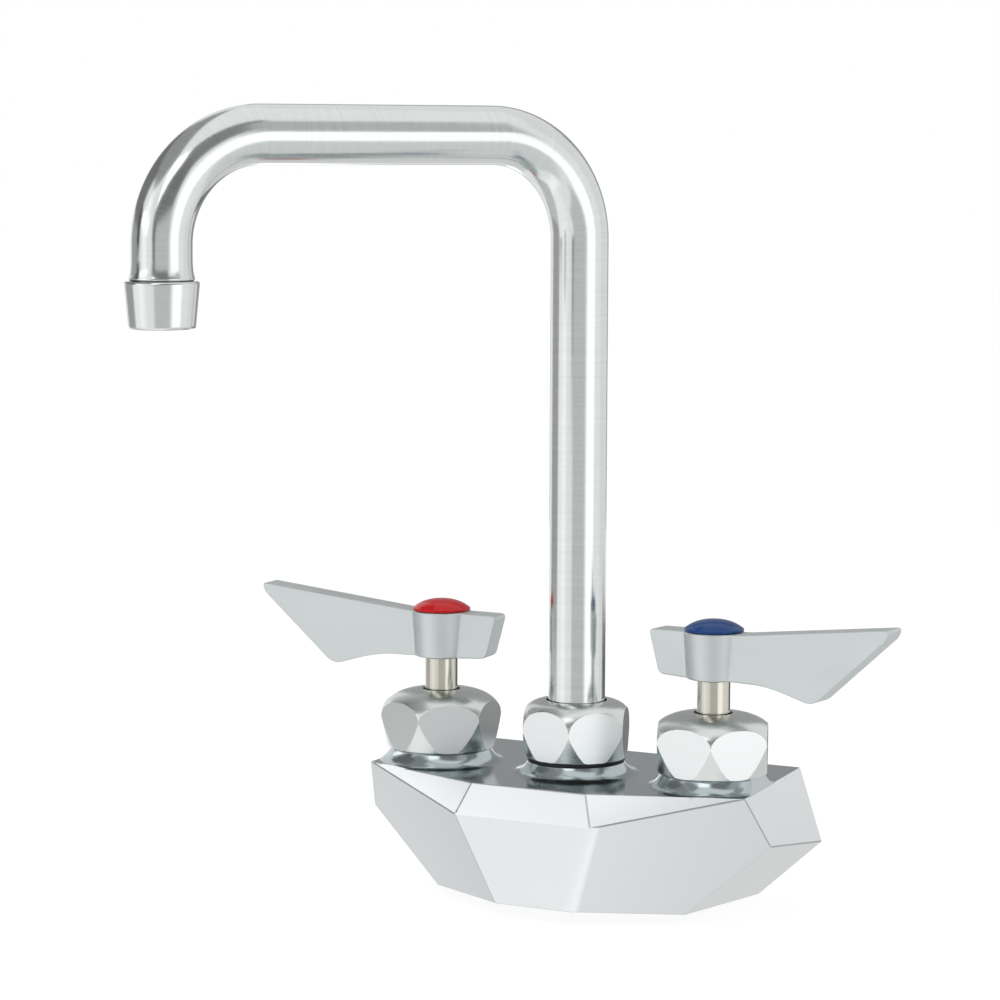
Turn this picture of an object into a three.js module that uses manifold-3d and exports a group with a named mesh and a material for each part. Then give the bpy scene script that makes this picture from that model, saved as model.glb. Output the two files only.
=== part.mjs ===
// Commercial wall faucet: a faceted body with two inlet sockets on 4-inch centres, two quarter-turn
// ceramic valves with wing levers, and a swivelling spout with two bends and an aerator.
//
// Millimetres, +Z up. The origin is on the wall face, midway between the two inlets and level with
// their axes. +X runs right along the wall and -Y points out of it. Heights named _Z are above the
// inlet axes, sizes named _OUT are distances from the wall, and sizes named _DROP are below the top face.
import * as THREE from "three";
import { ConvexGeometry } from "three/addons/geometries/ConvexGeometry.js";
import { mergeVertices } from "three/addons/utils/BufferGeometryUtils.js";
import Module from "manifold-3d";

const wasm = await Module();
wasm.setup();

// ---- Driving dimensions ----------------------------------------------------------------------

// Layout
const CENTRES = 101.6; // between the two inlets, and between the two valves
const VALVE_OUT = 45; // valve axes, from the wall
const SPOUT_OUT = 43.5; // spout swivel axis, from the wall
const TOP_Z = 22; // flat top face of the body
const SEAT_CLEAR = 0.3; // between faces that bear on each other
const FIT_CLEAR = 0.3; // radial, between a piece and the bore it stands in

// Faceted body: half widths, distances from the wall and drops below the top face
const TOP_FRONT_X = 20.9;
const TOP_FRONT_OUT = 78.6;
const TOP_SIDE_X = 69.5;
const TOP_SIDE_OUT = 60.9;
const TOP_BACK_X = 63;
const LIP_X = 24.8;
const LIP_OUT = 83;
const LIP_DROP = 10.2;
const FOOT_X = 13.6;
const FOOT_OUT = 75.5;
const FOOT_DROP = 40.4;
const FOOT_BACK_X = 48.3;
const FOOT_BACK_DROP = 45.3;
const WIDEST_X = 71.3;
const WIDEST_DROP = 24.7;
const SIDE_NOTCH_DROP = 17.3;

// Bosses that the nuts stand on, and the threaded necks inside the nuts
const VALVE_BOSS_HEIGHT = 4.4;
const SPOUT_BOSS_HEIGHT = 3.8;
const VALVE_BOSS_R = 17;
const SPOUT_BOSS_R = 16.2;
const BOSS_FOOT_R = 22.5;
const BOSS_FLARE = 2.2; // width over which the flare leaves the boss's rim
const NECK_HEIGHT = 10; // above the boss
const VALVE_NECK_R = 13.1;
const SPOUT_NECK_R = 13.3;

// Waterways
const SEAT_Z = 8;
const CHAMBER_R = 10.3;
const PORT_R = 5;
const INLET_BORE_R = 5.5;
const CROSS_R = 3.6;
const CROSS_Z = 16.8;
const WELL_R = 10.4;
const WELL_FLOOR_Z = 10;

// Inlet sockets in the back face, for half-inch pipe ends
const SOCKET_R = 9.7;
const SOCKET_DEPTH = 16;
const SOCKET_MOUTH_R = 10.9;
const SOCKET_MOUTH_DEPTH = 1.4;

// Domed hexagon nuts: radii and heights above their own seats
const BONNET_FLATS = 35.8;
const BONNET_BASE_R = 18.2;
const BONNET_HEIGHT = 19.7;
const BONNET_WIDEST_Z = 10.5;
const BONNET_HOLE_R = 6.4;
const BONNET_DOME_RISE = 5; // height over which the dome leaves the widest level upright
const BONNET_DOME_REACH = 9.3; // width over which it comes in level to the hole
const HOT_BONNET_TURN = 6.7; // degrees from +X to the normal of a flat
const COLD_BONNET_TURN = 22.3;
const SPOUT_NUT_FLATS = 33.5;
const SPOUT_NUT_BASE_R = 17.2;
const SPOUT_NUT_HEIGHT = 19.1;
const SPOUT_NUT_WIDEST_Z = 9;
const SPOUT_NUT_HOLE_CLEAR = 0.65;
const SPOUT_NUT_DOME_RISE = 6.4;
const SPOUT_NUT_DOME_REACH = 6.1;
const SPOUT_NUT_ROOF = 3;
const SPOUT_NUT_TURN = 18.9;
const GASKET_R = 16.3;
const GASKET_THICK = 1;
const GASKET_CLEAR = 0.25;

// Quarter-turn cartridges
const STEM_R = 5.5;
const SEAL_HEIGHT = 2;
const SEAL_R = 9.4;
const SEAL_BORE_R = 5.4;
const CUP_R = 8.2;
const DISC_THICK = 3.2;
const DISC_GAP = 0.2;
const DISC_PORT_R = 5.6;
const DISC_PORT_EYE = 2;
const DISC_PORT_HALF = 38; // degrees each side of the port's middle
const STEM_FOOT_R = 6.4;
const STEM_FOOT_HEIGHT = 4.5;
const WINDOW_WIDTH = 8;
const FLANGE_R = 12.6;
const FLANGE_THICK = 2.5;
const CARTRIDGE_NECK_R = 8.2;
const CARTRIDGE_NECK_HEIGHT = 4.2;
const CLIP_THICK = 0.9;
const CLIP_R = 7.4;
const CLIP_DEPTH = 0.8;
const CLIP_GAP = 70; // degrees left open in the ring
const STEM_RING_BELOW = 8; // from the flange down to the stem's sealing ring
const STEM_RING_R = 0.65;

// Levers
const HUB_Z = 57.7;
const HUB_HEIGHT = 15.6;
const HUB_TOP_R = 10;
const HUB_BASE_R = 9;
const LEVER_THICK = 9;
const LEVER_EDGE = 0.5;
const BLADE_START = 11;
const TIP_REACH = 66.4;
const TIP_RISE = 21.9; // above the hub's base
const TIP_RADIUS = 1.7;
const HEEL_REACH = 39;
const HEEL_DROP = 5; // below the hub's base
const HEEL_RADIUS = 3.4;
const WAIST_REACH = 22;
const WAIST_RADIUS = 9;
const TAIL_REACH = 22.3;
const TAIL_FOOT_REACH = 18.4;
const TAIL_RISE = 15.2;
const TAIL_RADIUS = 2;
const HOT_LEVER_TURN = 4; // degrees that a lever stands out from the wall at rest
const COLD_LEVER_TURN = 5.9;
const DRIVE_WIDTH = 7.6;
const DRIVE_HEIGHT = 10.2;
const HUB_WEB = 1.3;
const HEAD_POCKET_R = 6.6;
const SCREW_R = 2.5;
const SCREW_LENGTH = 9.5;
const SCREW_HEAD_R = 4.4;
const SCREW_HEAD_HEIGHT = 2.2;
const SCREW_SOCKET_R = 1.7;
const BUTTON_R = 9.8;
const BUTTON_EDGE = 0.9;
const BUTTON_DOME = 2.95;
const BUTTON_PLUG_R = 6.3;
const BUTTON_PLUG_DEPTH = 0.7;

// Spout
const TUBE_R = 9.525;
const TUBE_WALL = 1.25;
const SPOUT_REACH = 152.4;
const RUN_Z = 234.1;
const BEND_R = 34;
const REST_SWIVEL = 31; // degrees from straight out towards -X
const SLEEVE_BOTTOM_Z = 23;
const SLEEVE_BORE_R = 6.2;
const CUP_WALL = 2.4;
const CUP_DEPTH = 4.4;
const THRUST_THICK = 0.8;
const SLEEVE_RINGS_Z = [26.5, 32];
const SLEEVE_RING_R = 0.9;

// Outlet ferrule and aerator
const OUTLET_DROP = 59.9; // from the run's centreline down to the aerator's bottom
const AERATOR_HEIGHT = 14.9;
const AERATOR_TOP_R = 11.7;
const AERATOR_BASE_R = 10.5;
const AERATOR_ROUND = 1.4;
const AERATOR_LIP = 2.2;
const AERATOR_LIP_R = 8.6;
const AERATOR_THREAD_R = 9.8;
const INSERT_R = 9.1;
const FERRULE_FLARE_R = 10.25;
const FERRULE_FLARE_HEIGHT = 6;
const FERRULE_NECK = 0.3; // bare thread between the aerator and the ferrule's flare
const FERRULE_SPIGOT = 6;
const FERRULE_BORE_R = 6.6;
const INSERT_THICK = 4;
const INSERT_HOLE_R = 0.95;
const INSERT_RINGS = [1, 6, 12];
const INSERT_PITCH = 3.1;
const AERATOR_WASHER_THICK = 1.5;
const AERATOR_WASHER_BORE_R = 7.2;

// Facets
const ROUND = 24;
const NUT_ROUND = 30;
const SMALL_ROUND = 20;
const BEND_STEPS = 8;

// ---- Derived places --------------------------------------------------------------------------

const valveBossTop = TOP_Z + VALVE_BOSS_HEIGHT;
const spoutBossTop = TOP_Z + SPOUT_BOSS_HEIGHT;
const valveNeckTop = valveBossTop + NECK_HEIGHT;
const spoutNeckTop = spoutBossTop + NECK_HEIGHT;
const bonnetZ = valveBossTop + SEAT_CLEAR;
const gasketZ = spoutBossTop + GASKET_CLEAR;
const spoutNutZ = gasketZ + GASKET_THICK + GASKET_CLEAR;
const flangeZ = valveNeckTop + SEAT_CLEAR;
const flangeTop = flangeZ + FLANGE_THICK;
const stemRingZ = flangeZ - STEM_RING_BELOW;
const cartridgeR = CHAMBER_R - FIT_CLEAR;
const cartridgeTop = flangeTop + CARTRIDGE_NECK_HEIGHT;
const sealZ = SEAT_Z + SEAT_CLEAR;
const cupZ = sealZ + SEAL_HEIGHT + SEAT_CLEAR;
const discR = CUP_R - FIT_CLEAR;
const turningZ = cupZ + DISC_THICK + DISC_GAP;
const footZ = turningZ + DISC_THICK + DISC_GAP;
const cupRoof = footZ + STEM_FOOT_HEIGHT + SEAT_CLEAR;
const clipZ = cartridgeTop + SEAT_CLEAR;
const hubTop = HUB_Z + HUB_HEIGHT;
const driveTop = HUB_Z + DRIVE_HEIGHT;
const webZ = driveTop + SEAT_CLEAR;
const pocketZ = webZ + HUB_WEB;
const headZ = pocketZ + SEAT_CLEAR;
const spoutNutTop = spoutNutZ + SPOUT_NUT_HEIGHT;
const roofZ = spoutNutTop - SPOUT_NUT_ROOF;
const outletZ = RUN_Z - OUTLET_DROP;
const thrustZ = roofZ - SEAT_CLEAR - THRUST_THICK;
const cupTop = thrustZ - SEAT_CLEAR;
const tubeCupR = TUBE_R + FIT_CLEAR;
const sleeveCupR = tubeCupR + CUP_WALL;
const sleeveR = WELL_R - FIT_CLEAR;
const tubeFoot = cupTop - CUP_DEPTH + SEAT_CLEAR;
const aeratorTop = outletZ + AERATOR_HEIGHT;
const flareFoot = aeratorTop + FERRULE_NECK;
const ferruleTop = flareFoot + FERRULE_FLARE_HEIGHT;
const insertZ = outletZ + AERATOR_LIP + SEAT_CLEAR;
const aeratorWasherZ = insertZ + INSERT_THICK + SEAT_CLEAR;
const ferruleFoot = aeratorWasherZ + AERATOR_WASHER_THICK + SEAT_CLEAR;

// ---- Finishes --------------------------------------------------------------------------------

const FINISH = {
  castSteel: { color: 0xcdd0cf, roughness: 0.34, metalness: 0.92 },
  brushedSteel: { color: 0xc2c5c3, roughness: 0.3, metalness: 0.95 },
  satinSilver: { color: 0xcfd3d2, roughness: 0.42, metalness: 0.85 },
  nickel: { color: 0xb9b2a4, roughness: 0.2, metalness: 1 },
  brass: { color: 0xb59a5a, roughness: 0.35, metalness: 0.9 },
  rubber: { color: 0x161616, roughness: 0.85, metalness: 0 },
  ceramic: { color: 0xf1efe8, roughness: 0.25, metalness: 0 },
  nylon: { color: 0xe6e4dc, roughness: 0.5, metalness: 0 },
  hotRed: { color: 0xb01818, roughness: 0.18, metalness: 0 },
  coldBlue: { color: 0x12307c, roughness: 0.18, metalness: 0 },
};

// ---- Solids ----------------------------------------------------------------------------------

// A closed three.js geometry as a solid that can be joined and cut.
function solid(geometry) {
  const bare = new THREE.BufferGeometry();
  bare.setAttribute("position", geometry.getAttribute("position"));
  bare.setIndex(geometry.index);
  const welded = mergeVertices(bare, 1e-4);
  const index = welded.index.array;
  const kept = [];
  for (let i = 0; i < index.length; i += 3) {
    const [a, b, c] = index.subarray(i, i + 3);
    if (a !== b && b !== c && c !== a) kept.push(a, b, c);
  }
  return new wasm.Manifold(
    new wasm.Mesh({
      numProp: 3,
      vertProperties: Float32Array.from(welded.getAttribute("position").array),
      triVerts: Uint32Array.from(kept),
    }),
  );
}

// The reverse: a solid as a geometry for a mesh.
function geometryOf(body) {
  const mesh = body.getMesh();
  const geometry = new THREE.BufferGeometry();
  geometry.setAttribute("position", new THREE.BufferAttribute(mesh.vertProperties, 3));
  geometry.setIndex(new THREE.BufferAttribute(mesh.triVerts, 1));
  const flat = geometry.toNonIndexed();
  flat.computeVertexNormals();
  return flat;
}

// A solid of revolution about +Z from [radius, height] points that close on themselves or on the axis.
function revolve(points, segments = ROUND) {
  const outline = points.map(([r, z]) => new THREE.Vector2(r, z));
  if (THREE.ShapeUtils.area(outline) < 0) outline.reverse();
  const closed = outline.some((p) => p.x === 0) ? outline : [...outline, outline[0].clone()];
  while (closed[0].x === 0 && closed[closed.length - 1].x !== 0) closed.push(closed.shift());
  return solid(new THREE.LatheGeometry(closed, segments).rotateX(Math.PI / 2));
}

// A plain round bar along +Z between two heights.
function bar(radius, low, high, segments = ROUND) {
  const shape = new THREE.CylinderGeometry(radius, radius, high - low, segments);
  return solid(shape.rotateX(Math.PI / 2).translate(0, 0, (low + high) / 2));
}

// A plain ring about +Z.
function ring(inner, outer, low, high, segments = ROUND) {
  const section = [
    [inner, low],
    [outer, low],
    [outer, high],
    [inner, high],
  ];
  return revolve(section, segments);
}

// A hexagonal prism along +Z, with the normal of one flat turned from +X by an angle in degrees.
function hexagon(flats, low, high, turn = 0) {
  const corner = flats / 2 / Math.cos(Math.PI / 6);
  const shape = new THREE.CylinderGeometry(corner, corner, high - low, 6);
  shape.rotateX(Math.PI / 2).rotateZ(THREE.MathUtils.degToRad(turn));
  return solid(shape.translate(0, 0, (low + high) / 2));
}

// A sealing ring of round section about +Z.
function sealingRing(radius, thickness, z) {
  return solid(new THREE.TorusGeometry(radius, thickness, 6, SMALL_ROUND).translate(0, 0, z));
}

// Points along a curve in a revolved outline, without its first point.
function bend(start, control, end, steps) {
  const curve = new THREE.QuadraticBezierCurve(
    new THREE.Vector2(...start),
    new THREE.Vector2(...control),
    new THREE.Vector2(...end),
  );
  return curve.getPoints(steps).slice(1).map((p) => [p.x, p.y]);
}

// A closed outline through [x, y, radius] corners, each rounded by its radius.
function roundedOutline(corners) {
  const shape = new THREE.Shape();
  corners.forEach(([x, y, radius], i) => {
    const corner = new THREE.Vector2(x, y);
    const before = new THREE.Vector2(...corners.at(i - 1).slice(0, 2));
    const after = new THREE.Vector2(...corners[(i + 1) % corners.length].slice(0, 2));
    const reach = Math.min(radius, corner.distanceTo(before) / 2, corner.distanceTo(after) / 2);
    const start = corner.clone().add(before.sub(corner).setLength(reach));
    const end = corner.clone().add(after.sub(corner).setLength(reach));
    if (i === 0) shape.moveTo(start.x, start.y);
    else shape.lineTo(start.x, start.y);
    if (radius > 0) shape.quadraticCurveTo(x, y, end.x, end.y);
  });
  shape.closePath();
  return shape;
}

// Adds a solid to a group as a named mesh with a material of its own.
function addPart(group, name, body, finish) {
  const mesh = new THREE.Mesh(geometryOf(body), new THREE.MeshStandardMaterial(finish));
  mesh.name = name;
  group.add(mesh);
}

// ---- Faceted body ----------------------------------------------------------------------------

// The plane through three points, facing away from a point inside the body.
function facet(a, b, c, inside) {
  const plane = new THREE.Plane().setFromCoplanarPoints(a, b, c);
  return plane.distanceToPoint(inside) > 0 ? plane.negate() : plane;
}

// The point where three planes meet, or null where they don't meet in one point.
function meet(p, q, r) {
  const across = new THREE.Vector3().crossVectors(q.normal, r.normal);
  const det = p.normal.dot(across);
  if (Math.abs(det) < 1e-6) return null;
  const point = across.multiplyScalar(-p.constant);
  point.addScaledVector(new THREE.Vector3().crossVectors(r.normal, p.normal), -q.constant);
  point.addScaledVector(new THREE.Vector3().crossVectors(p.normal, q.normal), -r.constant);
  return point.divideScalar(det);
}

// The convex solid that a list of outward facing planes encloses.
function enclosed(planes) {
  const corners = [];
  const clearOfAll = (point) => planes.every((plane) => plane.distanceToPoint(point) < 1e-6);
  planes.forEach((p, i) => {
    planes.slice(i + 1).forEach((q, j) => {
      planes.slice(i + j + 2).forEach((r) => {
        const point = meet(p, q, r);
        if (!point || !clearOfAll(point)) return;
        if (corners.every((known) => known.distanceTo(point) > 1e-4)) corners.push(point);
      });
    });
  });
  return solid(new ConvexGeometry(corners));
}

// The planes of the cut-gem body under a flat top at the given height.
function bodyPlanes(topHeight) {
  const inside = new THREE.Vector3(0, -VALVE_OUT, 0);
  const at = (x, out, drop) => new THREE.Vector3(x, -out, TOP_Z - drop);
  const mirrored = (point) => new THREE.Vector3(-point.x, point.y, point.z);
  const topFront = at(TOP_FRONT_X, TOP_FRONT_OUT, 0);
  const topSide = at(TOP_SIDE_X, TOP_SIDE_OUT, 0);
  const topBack = at(TOP_BACK_X, 0, 0);
  const lip = at(LIP_X, LIP_OUT, LIP_DROP);
  const foot = at(FOOT_X, FOOT_OUT, FOOT_DROP);
  const footBack = at(FOOT_BACK_X, 0, FOOT_BACK_DROP);
  const widest = at(WIDEST_X, 0, WIDEST_DROP);
  const flank = facet(topSide, lip, foot, inside);
  const end = facet(topSide, topBack, widest, inside);
  const notchLevel = new THREE.Plane(new THREE.Vector3(0, 0, 1), SIDE_NOTCH_DROP - TOP_Z);
  const sideNotch = meet(flank, end, notchLevel);
  const frontCorner = facet(topSide, topFront, lip, inside);
  const lowerEnd = facet(sideNotch, widest, footBack, inside);
  const oneSide = [flank, end, frontCorner, lowerEnd];
  const otherSide = oneSide.map((plane) => {
    const normal = new THREE.Vector3(-plane.normal.x, plane.normal.y, plane.normal.z);
    return new THREE.Plane(normal, plane.constant);
  });
  return [
    new THREE.Plane(new THREE.Vector3(0, 1, 0), 0),
    new THREE.Plane(new THREE.Vector3(0, 0, 1), -topHeight),
    facet(topFront, mirrored(topFront), lip, inside),
    facet(lip, mirrored(lip), foot, inside),
    facet(foot, mirrored(foot), footBack, inside),
    ...oneSide,
    ...otherSide,
  ];
}

// A boss with a flared foot, which a nut stands on.
function boss(radius, top) {
  const flare = bend([BOSS_FOOT_R, TOP_Z], [radius + BOSS_FLARE, TOP_Z], [radius, top], 5);
  const root = 2 * TOP_Z - top;
  return revolve([[0, root], [BOSS_FOOT_R, root], [BOSS_FOOT_R, TOP_Z], ...flare, [0, top]]);
}

// The room that an inlet takes out of the body: a socket with an eased mouth, then a drilled bore.
function makeInlet() {
  const drillPoint = (SOCKET_R - INLET_BORE_R) / 2;
  const room = revolve([
    [0, -1],
    [SOCKET_MOUTH_R, -1],
    [SOCKET_MOUTH_R, 0],
    [SOCKET_R, SOCKET_MOUTH_DEPTH],
    [SOCKET_R, SOCKET_DEPTH],
    [INLET_BORE_R, SOCKET_DEPTH + drillPoint],
    [INLET_BORE_R, VALVE_OUT + INLET_BORE_R],
    [0, VALVE_OUT + INLET_BORE_R],
  ]);
  return room.rotate([90, 0, 0]);
}

function makeBody() {
  const valves = [-CENTRES / 2, CENTRES / 2];
  let body = enclosed(bodyPlanes(TOP_Z));
  const trim = enclosed(bodyPlanes(valveBossTop + 1));
  body = body
    .add(boss(SPOUT_BOSS_R, spoutBossTop).translate([0, -SPOUT_OUT, 0]))
    .add(bar(SPOUT_NECK_R, TOP_Z, spoutNeckTop).translate([0, -SPOUT_OUT, 0]));
  for (const x of valves) {
    body = body
      .add(boss(VALVE_BOSS_R, valveBossTop).translate([x, -VALVE_OUT, 0]).intersect(trim))
      .add(bar(VALVE_NECK_R, TOP_Z, valveNeckTop).translate([x, -VALVE_OUT, 0]))
      .subtract(bar(CHAMBER_R, SEAT_Z, valveNeckTop + 1).translate([x, -VALVE_OUT, 0]));
  }
  body = body.subtract(bar(WELL_R, WELL_FLOOR_Z, spoutNeckTop + 1).translate([0, -SPOUT_OUT, 0]));
  const cross = new THREE.CylinderGeometry(CROSS_R, CROSS_R, CENTRES, SMALL_ROUND);
  body = body.subtract(solid(cross.rotateZ(Math.PI / 2).translate(0, -VALVE_OUT, CROSS_Z)));
  for (const x of valves) {
    body = body.subtract(makeInlet().translate([x, 0, 0]));
    body = body.subtract(bar(PORT_R, 0, SEAT_Z + 1, SMALL_ROUND).translate([x, -VALVE_OUT, 0]));
  }
  return body;
}

// ---- Domed nuts ------------------------------------------------------------------------------

// The outside of a domed nut: a turned profile cut by six flats that just meet at its widest level.
function domedNut(nut) {
  const corner = nut.flats / 2 / Math.cos(Math.PI / 6);
  const dome = new THREE.CubicBezierCurve(
    new THREE.Vector2(corner, nut.widestZ),
    new THREE.Vector2(corner, nut.widestZ + nut.domeRise),
    new THREE.Vector2(nut.holeR + nut.domeReach, nut.height),
    new THREE.Vector2(nut.holeR, nut.height),
  );
  const profile = dome.getPoints(6).map((p) => [p.x, p.y]);
  const turned = revolve([[0, 0], [nut.baseR, 0], ...profile, [0, nut.height]], NUT_ROUND);
  return turned.intersect(hexagon(nut.flats, -1, nut.height + 1, nut.turn));
}

function makeBonnetNut(turn) {
  const outside = domedNut({
    flats: BONNET_FLATS,
    baseR: BONNET_BASE_R,
    height: BONNET_HEIGHT,
    widestZ: BONNET_WIDEST_Z,
    domeRise: BONNET_DOME_RISE,
    domeReach: BONNET_DOME_REACH,
    holeR: BONNET_HOLE_R,
    turn,
  }).translate([0, 0, bonnetZ]);
  const hollow = revolve([
    [0, bonnetZ - 1],
    [VALVE_NECK_R + FIT_CLEAR, bonnetZ - 1],
    [VALVE_NECK_R + FIT_CLEAR, flangeTop + SEAT_CLEAR],
    [CARTRIDGE_NECK_R + FIT_CLEAR, flangeTop + SEAT_CLEAR],
    [CARTRIDGE_NECK_R + FIT_CLEAR, clipZ + CLIP_THICK + SEAT_CLEAR],
    [BONNET_HOLE_R, clipZ + CLIP_THICK + SEAT_CLEAR],
    [BONNET_HOLE_R, bonnetZ + BONNET_HEIGHT + 1],
    [0, bonnetZ + BONNET_HEIGHT + 1],
  ]);
  return outside.subtract(hollow);
}

function makeSpoutNut() {
  const holeR = TUBE_R + SPOUT_NUT_HOLE_CLEAR;
  const outside = domedNut({
    flats: SPOUT_NUT_FLATS,
    baseR: SPOUT_NUT_BASE_R,
    height: SPOUT_NUT_HEIGHT,
    widestZ: SPOUT_NUT_WIDEST_Z,
    domeRise: SPOUT_NUT_DOME_RISE,
    domeReach: SPOUT_NUT_DOME_REACH,
    holeR,
    turn: SPOUT_NUT_TURN,
  }).translate([0, 0, spoutNutZ]);
  const neckBore = SPOUT_NECK_R + FIT_CLEAR;
  const cavityR = sleeveCupR + FIT_CLEAR;
  const hollow = revolve([
    [0, spoutNutZ - 1],
    [neckBore, spoutNutZ - 1],
    [neckBore, spoutNeckTop + SEAT_CLEAR],
    [cavityR, spoutNeckTop + SEAT_CLEAR],
    [cavityR, roofZ],
    [holeR, roofZ],
    [holeR, spoutNutTop + 1],
    [0, spoutNutTop + 1],
  ]);
  return outside.subtract(hollow);
}

// ---- Ceramic cartridge -----------------------------------------------------------------------

function makeCartridgeBody() {
  const bore = STEM_R + FIT_CLEAR;
  const shell = revolve([
    [cartridgeR, cupZ],
    [cartridgeR, flangeZ],
    [FLANGE_R, flangeZ],
    [FLANGE_R, flangeTop],
    [CARTRIDGE_NECK_R, flangeTop],
    [CARTRIDGE_NECK_R, cartridgeTop],
    [bore, cartridgeTop],
    [bore, cupRoof],
    [CUP_R, cupRoof],
    [CUP_R, cupZ],
  ], SMALL_ROUND);
  const height = cupRoof - footZ - SEAT_CLEAR;
  const window = new THREE.BoxGeometry(3 * cartridgeR, WINDOW_WIDTH, height);
  return shell.subtract(solid(window.translate(0, 0, footZ + height / 2)));
}

// A ceramic disc with two fan-shaped ports, their middles turned from +X by an angle in degrees.
function makeDisc(z, turn) {
  const half = THREE.MathUtils.degToRad(DISC_PORT_HALF);
  const port = new THREE.Shape();
  port.absarc(0, 0, DISC_PORT_R, -half, half);
  port.absarc(0, 0, DISC_PORT_EYE, half, -half, true);
  const settings = { depth: DISC_THICK + 2, bevelEnabled: false, curveSegments: 5 };
  const cutter = solid(new THREE.ExtrudeGeometry(port, settings).translate(0, 0, z - 1));
  return bar(discR, z, z + DISC_THICK, SMALL_ROUND)
    .subtract(cutter.rotate([0, 0, turn]))
    .subtract(cutter.rotate([0, 0, turn + 180]));
}

// The stem: foot, shaft with a ring groove and a clip groove, and a square drive with a screw hole.
function makeStem() {
  const grooveR = STEM_R - 2 * STEM_RING_R - SEAT_CLEAR;
  const grooveHalf = STEM_RING_R + SEAT_CLEAR;
  const clipTop = clipZ + CLIP_THICK + 0.1;
  const shaft = revolve([
    [0, footZ],
    [STEM_FOOT_R, footZ],
    [STEM_FOOT_R, cupRoof - SEAT_CLEAR],
    [STEM_R, cupRoof - SEAT_CLEAR],
    [STEM_R, stemRingZ - grooveHalf],
    [grooveR, stemRingZ - grooveHalf],
    [grooveR, stemRingZ + grooveHalf],
    [STEM_R, stemRingZ + grooveHalf],
    [STEM_R, clipZ - 0.1],
    [STEM_R - CLIP_DEPTH, clipZ - 0.1],
    [STEM_R - CLIP_DEPTH, clipTop],
    [STEM_R, clipTop],
    [STEM_R, HUB_Z - SEAT_CLEAR],
    [0, HUB_Z - SEAT_CLEAR],
  ]);
  const driveFoot = HUB_Z - 1;
  const drive = new THREE.BoxGeometry(DRIVE_WIDTH, DRIVE_WIDTH, driveTop - driveFoot);
  return shaft
    .add(solid(drive.translate(0, 0, (driveFoot + driveTop) / 2)))
    .subtract(bar(SCREW_R + FIT_CLEAR, headZ - SCREW_LENGTH - 1, driveTop + 1, 16));
}

// An open spring clip in the stem's groove.
function makeClip() {
  const half = THREE.MathUtils.degToRad(180 - CLIP_GAP / 2);
  const shape = new THREE.Shape();
  shape.absarc(0, 0, CLIP_R, -half, half);
  shape.absarc(0, 0, STEM_R - CLIP_DEPTH + 0.2, half, -half, true);
  shape.closePath();
  const settings = { depth: CLIP_THICK, bevelEnabled: false, curveSegments: 8 };
  return solid(new THREE.ExtrudeGeometry(shape, settings).translate(0, 0, clipZ));
}

// ---- Lever -----------------------------------------------------------------------------------

// The lever's side outline in [distance from the stem, height above the hub's base].
function leverOutline() {
  return roundedOutline([
    [-TAIL_FOOT_REACH, 0.5, TAIL_RADIUS],
    [-HUB_BASE_R, -0.2, 0],
    [HUB_BASE_R, 0, 0],
    [WAIST_REACH, -0.1, WAIST_RADIUS],
    [HEEL_REACH, -HEEL_DROP, HEEL_RADIUS],
    [TIP_REACH - 0.8, TIP_RISE - 3.1, TIP_RADIUS],
    [TIP_REACH, TIP_RISE, TIP_RADIUS],
    [BLADE_START, HUB_HEIGHT, 2],
    [0, HUB_HEIGHT, 0],
    [-TAIL_REACH, TAIL_RISE, TAIL_RADIUS],
  ]);
}

// Hub, blade and tail in one casting, with the blade along +X.
function makeLever() {
  const plate = new THREE.ExtrudeGeometry(leverOutline(), {
    depth: LEVER_THICK - 2 * LEVER_EDGE,
    bevelThickness: LEVER_EDGE,
    bevelSize: LEVER_EDGE,
    bevelOffset: -LEVER_EDGE,
    bevelSegments: 1,
    curveSegments: 5,
  });
  plate.rotateX(Math.PI / 2).translate(0, LEVER_THICK / 2 - LEVER_EDGE, HUB_Z);
  const hub = revolve([
    [0, HUB_Z],
    [HUB_BASE_R - 0.6, HUB_Z],
    [HUB_BASE_R, HUB_Z + 0.6],
    [HUB_TOP_R, hubTop - 0.5],
    [HUB_TOP_R - 0.5, hubTop],
    [0, hubTop],
  ]);
  const socketWidth = DRIVE_WIDTH + 2 * FIT_CLEAR;
  const socket = new THREE.BoxGeometry(socketWidth, socketWidth, webZ - HUB_Z + 1);
  return solid(plate)
    .add(hub)
    .subtract(solid(socket.translate(0, 0, (webZ + HUB_Z - 1) / 2)))
    .subtract(bar(SCREW_R + FIT_CLEAR, webZ - 1, pocketZ + 1, 16))
    .subtract(bar(HEAD_POCKET_R, pocketZ, hubTop + 1, 24));
}

function makeHandleScrew() {
  const socket = bar(SCREW_SOCKET_R, headZ + SCREW_HEAD_HEIGHT / 2, headZ + SCREW_HEAD_HEIGHT + 1, 6);
  return bar(SCREW_R, headZ - SCREW_LENGTH, headZ + SCREW_HEAD_HEIGHT / 2, 16)
    .add(bar(SCREW_HEAD_R, headZ, headZ + SCREW_HEAD_HEIGHT, 20))
    .subtract(socket);
}

// The domed index button, with a short plug that snaps into the hub.
function makeButton() {
  const base = hubTop + SEAT_CLEAR / 2;
  const edge = base + BUTTON_EDGE;
  const dome = bend([BUTTON_R, edge], [BUTTON_R * 0.5, edge + BUTTON_DOME], [0, edge + BUTTON_DOME], 6);
  return revolve([
    [0, base - BUTTON_PLUG_DEPTH],
    [BUTTON_PLUG_R, base - BUTTON_PLUG_DEPTH],
    [BUTTON_PLUG_R, base],
    [BUTTON_R - 0.3, base],
    [BUTTON_R, base + 0.3],
    [BUTTON_R, edge],
    ...dome,
  ]);
}

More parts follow.
